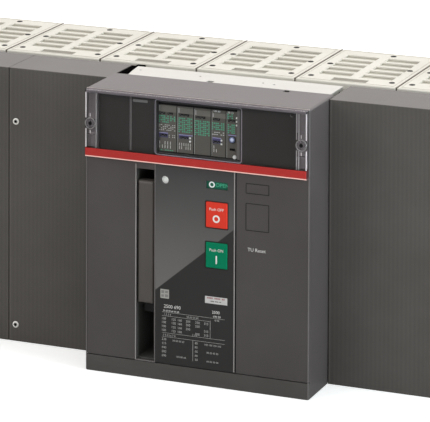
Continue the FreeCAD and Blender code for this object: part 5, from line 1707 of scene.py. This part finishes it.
@dataclass
class ScrewHeads:
    """The covers' screws, with domed heads and sockets, in place of the plain CAD ones.

    Args:
        palette: The finishes.
        radius: The head's radius, in metres.
        rim: The radius of the washer under it.
        dome: Its height.
        inset: How far each screw lies from its cover's free edge.
        shank: The shank's radius.
        length: How far the shank reaches back.
    """

    palette: Palette
    radius: float = 0.0032
    rim: float = 0.0039
    dome: float = 0.0014
    inset: float = 0.009
    shank: float = 0.002
    length: float = 0.007

    def build(self) -> None:
        """Makes the six screws."""
        low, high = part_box("cover_screws")
        edges = (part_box("left_outer_cover")[0][0] + self.inset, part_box("left_inner_cover")[0][0] + self.inset,
                 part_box("right_cover")[1][0] - self.inset)
        spots = [Vector((across, low[1], level)) for across in edges
                 for level in (low[2] + self.radius, high[2] - self.radius)]
        head = [(0.0, 0.0002), (0.0011, 0.0003), (0.0013, self.dome), (0.0019, self.dome),
                (0.0028, self.dome * 0.9), (self.radius, self.dome * 0.55), (self.rim, self.dome * 0.45),
                (self.rim, 0.0), (self.shank, 0.0), (self.shank, 0.0005 - self.length), (0.0, -self.length)]
        piece = Piece("cover_screw_heads", Body.FRAME, "bright_screw")
        for spot in spots:
            piece.turned(spot - FORWARD * self.dome, head, segments=24)
        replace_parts(piece.finish_up(self.palette), "cover_screws")
        sockets = Piece("cover_screw_sockets", Body.FRAME, "black_screw")
        for spot in spots:
            sockets.turned(spot, [(0.0, -0.0006), (0.0021, -0.0006), (0.0022, 0.0), (0.0, 0.0)])
        sockets.finish_up(self.palette)


@dataclass
class ChuteTrim:
    """What lies on the chutes' lids: a raised line, the label in each recess and the seam to the next lid.

    Args:
        kit: The places and the finishes.
        chutes: How many chutes there are.
        inset: How far the line lies from the lid's edge, in metres.
        wide: The line's width.
        proud: How far it stands proud.
        label: The label's width and depth, in metres.
        label_back: How far behind the lid's front edge the label's middle lies.
        seam: The seam's width.
        seam_inset: How far the seam's ends lie from the lid's.
        screws: How far each screw stands right of the lid's middle and behind its front edge.
    """

    kit: Kit
    chutes: int = 6
    inset: float = 0.0042
    wide: float = 0.001
    proud: float = 0.0003
    label: Span = (0.0436, 0.0136)
    label_back: float = 0.015
    seam: float = 0.0012
    seam_inset: float = 0.0004
    screws: Spans = (
        (-0.0505, 0.021), (0.0505, 0.021), (-0.0505, 0.087), (0.0505, 0.087), (0.0076, 0.152))

    def _frame(self, piece: Piece, low: Vector, high: Vector) -> None:
        """Adds one line round a rectangle.

        Args:
            piece: The piece.
            low: The rectangle's lowest corner.
            high: Its highest corner.
        """
        wide = self.wide
        piece.bar(low, Vector((high.x, low.y + wide, high.z)))
        piece.bar(Vector((low.x, high.y - wide, low.z)), high)
        for left in (low.x, high.x - wide):
            piece.bar(Vector((left, low.y + wide, low.z)), Vector((left + wide, high.y - wide, high.z)))

    def build(self) -> None:
        """Makes the line, the label, the washers and the seam of every lid."""
        kit = self.kit
        with (kit.piece("chute_screw_washers", "black_screw") as washers,
              kit.piece("chute_seams", "seam_ink") as seams,
              kit.piece("chute_labels", "chute_label_plastic") as labels,
              kit.piece("chute_lines", "chute_line_plastic") as lines):
            for number in range(1, self.chutes + 1):
                low, high = (Vector(corner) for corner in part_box(f"arc_chute_{number}"))
                self._frame(lines, Vector((low.x + self.inset, low.y + self.inset, high.z - 0.0001)),
                            Vector((high.x - self.inset, high.y - self.inset, high.z + self.proud)))
                middle = Vector(((low.x + high.x) / 2, low.y + self.label_back, high.z))
                half = Vector((self.label[0] / 2, self.label[1] / 2, 0))
                labels.bar(middle - half - UP * 0.0011, middle + half - UP * 0.0007, 0.0001)
                for across, back in self.screws:
                    washers.turned(Vector((middle.x + across, low.y + back, high.z - 0.0002)),
                                   [(0.0, 0.0009), (0.0024, 0.0009), (0.0036, 0.0005), (0.0036, 0.0)], UP, 16)
                if number < self.chutes:
                    left = high.x - self.seam / 2
                    seams.bar(Vector((left, low.y + self.seam_inset, high.z - 0.004)),
                              Vector((left + self.seam, high.y - self.seam_inset, high.z + 0.00012)))


@dataclass
class TrayGapShade:
    """Painted shade at the left end of the terminal tray, beside the inner cover: a black plate where the gap
    lies in shadow.

    Args:
        kit: The places and the finishes.
        front: The black plate's width at its front, in metres.
        rear: Its width at its rear.
        gap: How far it lies from the cover, and stands proud of the tray.
        sunk: How far it reaches into the tray.
        filler: How far the piece beneath reaches right of the tray's left end and behind its rear.
        filler_depth: How far the filler's bottom and top lie under the tray's top.
    """

    kit: Kit
    front: float = 0.014
    rear: float = 0.0075
    gap: float = 0.0002
    sunk: float = 0.0006
    filler: Span = (0.004, 0.0165)
    filler_depth: Span = (0.006, 0.002)

    def build(self) -> None:
        """Makes the painted shade as a black tapering plate, and closes the gap beneath it with a black bar."""
        low, high = (Vector(corner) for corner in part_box("terminal_tray"))
        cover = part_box("left_inner_cover")[1][0]
        left = cover + self.gap
        with self.kit.piece("tray_notch", "gap_shade_black") as piece:
            piece.bar(Vector((left, low.y + self.gap, high.z - self.sunk)),
                      Vector((cover + self.front, high.y, high.z + self.gap)))
            rear = [vert for vert in piece.mesh.verts
                    if vert.co.y > high.y - MM and vert.co.x > cover + self.rear]
            bmesh.ops.translate(piece.mesh, verts=rear, vec=(self.rear - self.front, 0, 0))
            bottom, top = self.filler_depth
            piece.bar(Vector((left, high.y, high.z - bottom)),
                      Vector((low.x + self.filler[0], high.y + self.filler[1], high.z - top)))


@dataclass
class HousingRibs:
    """The moulded ribs on the pole housings' rear walls.

    Args:
        kit: The places and the finishes.
        wide: A rib's width, in metres.
        proud: How far an upright rib stands proud.
        sunk: How far a rib reaches into the wall.
        bevel: The radius of its edges.
        ends: The height where the upright ribs start, and how far under the housing's top they end.
        shallow: How far a level rib stands proud, against an upright one.
        uprights: How far right of a housing's middle each upright rib starts.
        levels: The height of each level rib.
        spans: Left and right of each level rib's two lengths.
    """

    kit: Kit
    wide: float = 0.003
    proud: float = 0.0018
    sunk: float = 0.0002
    bevel: float = 0.0005
    ends: Span = (0.004, 0.006)
    shallow: float = 0.8
    uprights: Span = (-0.098, -0.0015, 0.095)
    levels: Span = (0.06, 0.145, 0.205, 0.285)
    spans: Spans = ((-0.0948, -0.0018), (0.0018, 0.0948))

    def build(self) -> None:
        """Makes upright ribs and level ribs on each housing."""
        with self.kit.piece("housing_ribs", "housing_plastic") as ribs:
            for number in (1, 2, 3):
                low, high = (Vector(corner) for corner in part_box(f"pole_housing_{number}"))
                middle = (low.x + high.x) / 2
                wall = high.y - self.sunk
                for across in self.uprights:
                    left = middle + across
                    ribs.bar(Vector((left, wall, self.ends[0])),
                             Vector((left + self.wide, high.y + self.proud, high.z - self.ends[1])),
                             self.bevel)
                rear = high.y + self.proud * self.shallow
                for level in self.levels:
                    for left, right in self.spans:
                        ribs.bar(Vector((middle + left, wall, level)),
                                 Vector((middle + right, rear, level + self.wide)), self.bevel)


@dataclass(frozen=True)
class Coil:
    """A coil spring along the depth, which a joint presses.

    Args:
        name: The piece's name.
        joint: The joint that presses it.
        turns: How many turns it has.
        wire: The radius of its wire, in metres.
        sides: How many sides its wire has.
        steps: How many steps each turn has.
    """

    name: str
    joint: str
    turns: int
    wire: float
    sides: int = 10
    steps: int = 24

    def build(self, low: Vector, high: Vector, travel: float, palette: Palette) -> bpy.types.Object:
        """Winds the spring in the space between two corners.

        Args:
            low: The lowest corner of its space.
            high: The highest corner of its space.
            travel: How far the joint presses its front end; not used.
            palette: The finishes.

        Returns:
            The spring.
        """
        piece = Piece(self.name, Body.FRAME, "spring_steel")
        axis = Vector((0, 1, 0))
        start = Vector(((low.x + high.x) / 2, low.y + self.wire, (low.z + high.z) / 2))
        radius = (high.x - low.x) / 2 - self.wire
        steps = self.steps * self.turns
        rise = (high.y - low.y - 2 * self.wire) / steps
        section = bmesh.ops.create_circle(piece.mesh, cap_ends=True, segments=self.sides, radius=self.wire,
                                          matrix=Matrix.Translation(start + Vector((radius, 0, 0))))["verts"]
        face = section[0].link_faces[0]
        bmesh.ops.spin(piece.mesh, geom=[*face.verts, *face.edges, face], cent=start, axis=axis,
                       dvec=axis * rise, angle=2 * math.pi * self.turns, steps=steps, use_merge=False)
        made = piece.finish_up(palette)
        1 - travel / (high.y - low.y)
        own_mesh(made)
        return made


@dataclass
class DriveSprings:
    """The springs that the cam and the two push buttons press.

    Args:
        palette: The finishes.
        closing: The closing spring behind the carriage.
        upper: The spring round the upper button's stem.
        lower: The spring round the lower button's stem.
    """

    palette: Palette
    closing: Coil = Coil("closing_spring_coil", "carriage_charge", 7, 0.0018)
    upper: Coil = Coil("off_button_spring", "off_press", 4, 0.0007)
    lower: Coil = Coil("on_button_spring", "on_press", 4, 0.0007)

    def build(self, frame: dict) -> None:
        """Winds the springs where the CAD springs lie.
        """
        travel = {joint["name"]: joint["range_m"][1] for joint in frame["joints"] if joint["type"] == "slide"}
        low, high = (Vector(corner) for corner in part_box("closing_spring"))
        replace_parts(self.closing.build(low, high, travel[self.closing.joint], self.palette), "closing_spring")
        low, high = (Vector(corner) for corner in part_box("button_springs"))
        wide = UP * (high.x - low.x)
        places = ((self.upper, Vector((low.x, low.y, high.z)) - wide, high),
                  (self.lower, low, Vector((high.x, high.y, low.z)) + wide))
        for coil, first, last in places:
            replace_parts(coil.build(first, last, travel[coil.joint], self.palette), "button_springs")


# ---- studio


@dataclass(frozen=True)
class Lamp:
    """A square soft lamp.

    Args:
        name: Its name.
        place: Where it hangs, in metres.
        size: The length of its sides, in metres.
        power: Its power, in watts.
        colour: Its colour.
    """

    name: str
    place: tuple[float, float, float]
    size: float
    power: float
    colour: tuple[float, float, float] = (1.0, 1.0, 1.0)

    def hang(self, aim: Vector) -> None:
        """Hangs the lamp, turned towards a place.

        Args:
            aim: The place.
        """
        data = bpy.data.lights.new(self.name, "AREA")
        data.shape = "SQUARE"
        data.size = self.size
        data.energy = self.power
        data.color = self.colour
        lamp = bpy.data.objects.new(self.name, data)
        bpy.context.scene.collection.objects.link(lamp)
        place = Vector(self.place)
        turn = (aim - place).to_track_quat("-Z", "Y")
        lamp.matrix_world = Matrix.Translation(place) @ turn.to_matrix().to_4x4()


@dataclass
class Studio:
    """The floor, the world, the lamps and the camera.

    Args:
        shield: The places that the view is counted from.
        azimuth: How far right of straight ahead the camera stands, in degrees.
        elevation: How far above level it stands.
        roll: How far it is rolled.
        distance: How far from its target it stands, in metres.
        lens: Its focal length, in millimetres.
        target: What its level axis passes through, in millimetres from the shield.
        drop: How far its holder skews its axis down, as a slope, so that uprights stay parallel.
        floor_size: Half the floor's width, in metres.
        floor_drop: How far the floor lies under the breaker.
        floor_glow: How much the floor glows where it is seen, so that it stays white.
        floor_mirrored: How bright the floor is in reflections.
        aim: What the lamps are turned towards, in millimetres from the shield.
        lamps: A large one above, one at the front left and one at the right.
    """

    shield: Shield
    azimuth: float = 22.27
    elevation: float = 2.487
    roll: float = 0.235
    distance: float = 3.4663
    lens: float = 263.99
    target: tuple[float, float, float] = (19.74, 0.0, 1014.87)
    drop: float = 0.23161
    floor_size: float = 6.0
    floor_drop: float = 0.0005
    floor_glow: float = 0.46
    floor_mirrored: float = 0.2
    aim: tuple[float, float, float] = (0.0, 60.0, 160.0)
    lamps: tuple[Lamp, ...] = (
        Lamp("overhead_lamp", (0.1, -0.3, 2.4), 2.2, 15.0),
        Lamp("front_lamp", (-1.6, -2.2, 1.5), 1.4, 20.0),
        Lamp("side_lamp", (2.3, -0.5, 0.6), 1.2, 49.0, (0.82, 0.93, 1.0)))

    def build(self) -> None:
        """Sets up the whole studio."""
        self._camera()
        self._floor()
        self._world()
        for lamp in self.lamps:
            lamp.hang(self.shield.at(*self.aim))
        bpy.context.scene.view_settings.view_transform = "Standard"

    def _camera(self) -> None:
        """Places the camera, and hangs it from a holder that skews its axis down."""
        azimuth, elevation = math.radians(self.azimuth), math.radians(self.elevation)
        back = Vector((math.sin(azimuth) * math.cos(elevation), -math.cos(azimuth) * math.cos(elevation),
                       math.sin(elevation)))
        data = bpy.data.cameras.new("camera")
        data.sensor_width = 36.0
        data.lens = self.lens
        data.clip_end = 50.0
        camera = bpy.data.objects.new("camera", data)
        holder = bpy.data.objects.new("camera_holder", None)
        for item in (camera, holder):
            bpy.context.scene.collection.objects.link(item)
        look = back.to_track_quat("Z", "Y").to_matrix() @ Matrix.Rotation(math.radians(self.roll), 3, "Z")
        level = Matrix.Translation(self.shield.at(*self.target) + back * self.distance) @ look.to_4x4()
        skew = Matrix.Identity(4)
        skew[1][2] = self.drop
        camera.parent = holder
        camera.matrix_parent_inverse = level @ skew @ level.inverted()
        camera.matrix_basis = level
        bpy.context.scene.camera = camera

    @staticmethod
    def _rays(graph: Graph) -> tuple[Socket, Socket]:
        """Tells what is seen from what is mirrored.

        Args:
            graph: The material's or world's graph.

        Returns:
            The mask of what the camera sees, straight or through the clear cover, and that of reflections.
        """
        ray = graph.add("LightPath").outputs
        return graph.math("MAXIMUM", ray["Is Camera Ray"], ray["Is Transmission Ray"]), ray["Is Glossy Ray"]

    def _floor(self) -> None:
        """Makes the pale floor, which keeps the breaker's shadow."""
        mesh = bmesh.new()
        bmesh.ops.create_grid(mesh, x_segments=8, y_segments=8, size=self.floor_size,
                              matrix=Matrix.Translation((0, 0, -self.floor_drop)))
        data = bpy.data.meshes.new("floor")
        mesh.to_mesh(data)
        mesh.free()
        floor = bpy.data.objects.new("floor", data)
        bpy.context.scene.collection.objects.link(floor)
        material = bpy.data.materials.new("studio_floor")
        material.use_nodes = True
        graph = Graph(material.node_tree)
        graph.tree.nodes.clear()
        seen, glossy = self._rays(graph)
        rough = graph.add("BsdfDiffuse", {0: (0.86, 0.86, 0.85, 1.0)})
        glow = graph.add("Emission", {0: (1.0, 1.0, 0.99, 1.0), 1: graph.times(seen, self.floor_glow)})
        total = graph.add("AddShader", {0: rough.outputs[0], 1: glow.outputs[0]})
        mirrored = graph.add("Emission", {0: (1.0, 1.0, 1.0, 1.0), 1: self.floor_mirrored})
        shown = graph.add("MixShader", {0: glossy, 1: total.outputs[0], 2: mirrored.outputs[0]})
        graph.add("OutputMaterial", {0: shown.outputs[0]})
        data.materials.append(material)

    def _world(self) -> None:
        """Makes a soft white world, dimmer ahead of the breaker's face for what is lit or mirrored."""
        world = bpy.data.worlds.new("studio")
        bpy.context.scene.world = world
        world.use_nodes = True
        graph = Graph(world.node_tree)
        graph.tree.nodes.clear()
        seen, glossy = self._rays(graph)
        _, back, up = graph.parts(graph.add("TexCoord").outputs["Generated"])
        behind = graph.ramp(back, -0.3, 0.7)
        above = graph.ramp(up, 0.2, 0.9)
        lit = graph.math("MULTIPLY_ADD", above, 0.2, graph.math("MULTIPLY_ADD", behind, 0.7, 0.4))
        lit = graph.math("ADD", lit, graph.times(graph.times(behind, glossy), 0.5))
        strength = graph.math("MULTIPLY_ADD", seen, graph.math("SUBTRACT", 1.0, lit), lit)
        tint = graph.mix(glossy, (1.0, 1.0, 0.995, 1.0), (1.0, 0.95, 0.94, 1.0))
        light = graph.add("Background", {0: tint, 1: strength})
        graph.add("OutputWorld", {0: light.outputs[0]})


# ---- main


def main() -> None:
    """Builds the dressed breaker and its studio."""
    logging.basicConfig(level=logging.INFO, format="%(name)s %(message)s")
    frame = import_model()
    kit = Kit(Shield.measured(), Palette(SharedGroups(), Shield.measured()))
    CadDressing().dress(frame, kit.palette)
    for assembly in (PlateGraphics(kit), TripUnitFace(kit), WindowTrim(kit), ShieldTrim(kit),
                     ScrewHeads(kit.palette), ChuteTrim(kit), TrayGapShade(kit), HousingRibs(kit)):
        assembly.build()
    DriveSprings(kit.palette).build(frame)
    Studio(kit.shield).build()


if __name__ == "__main__":
    main()
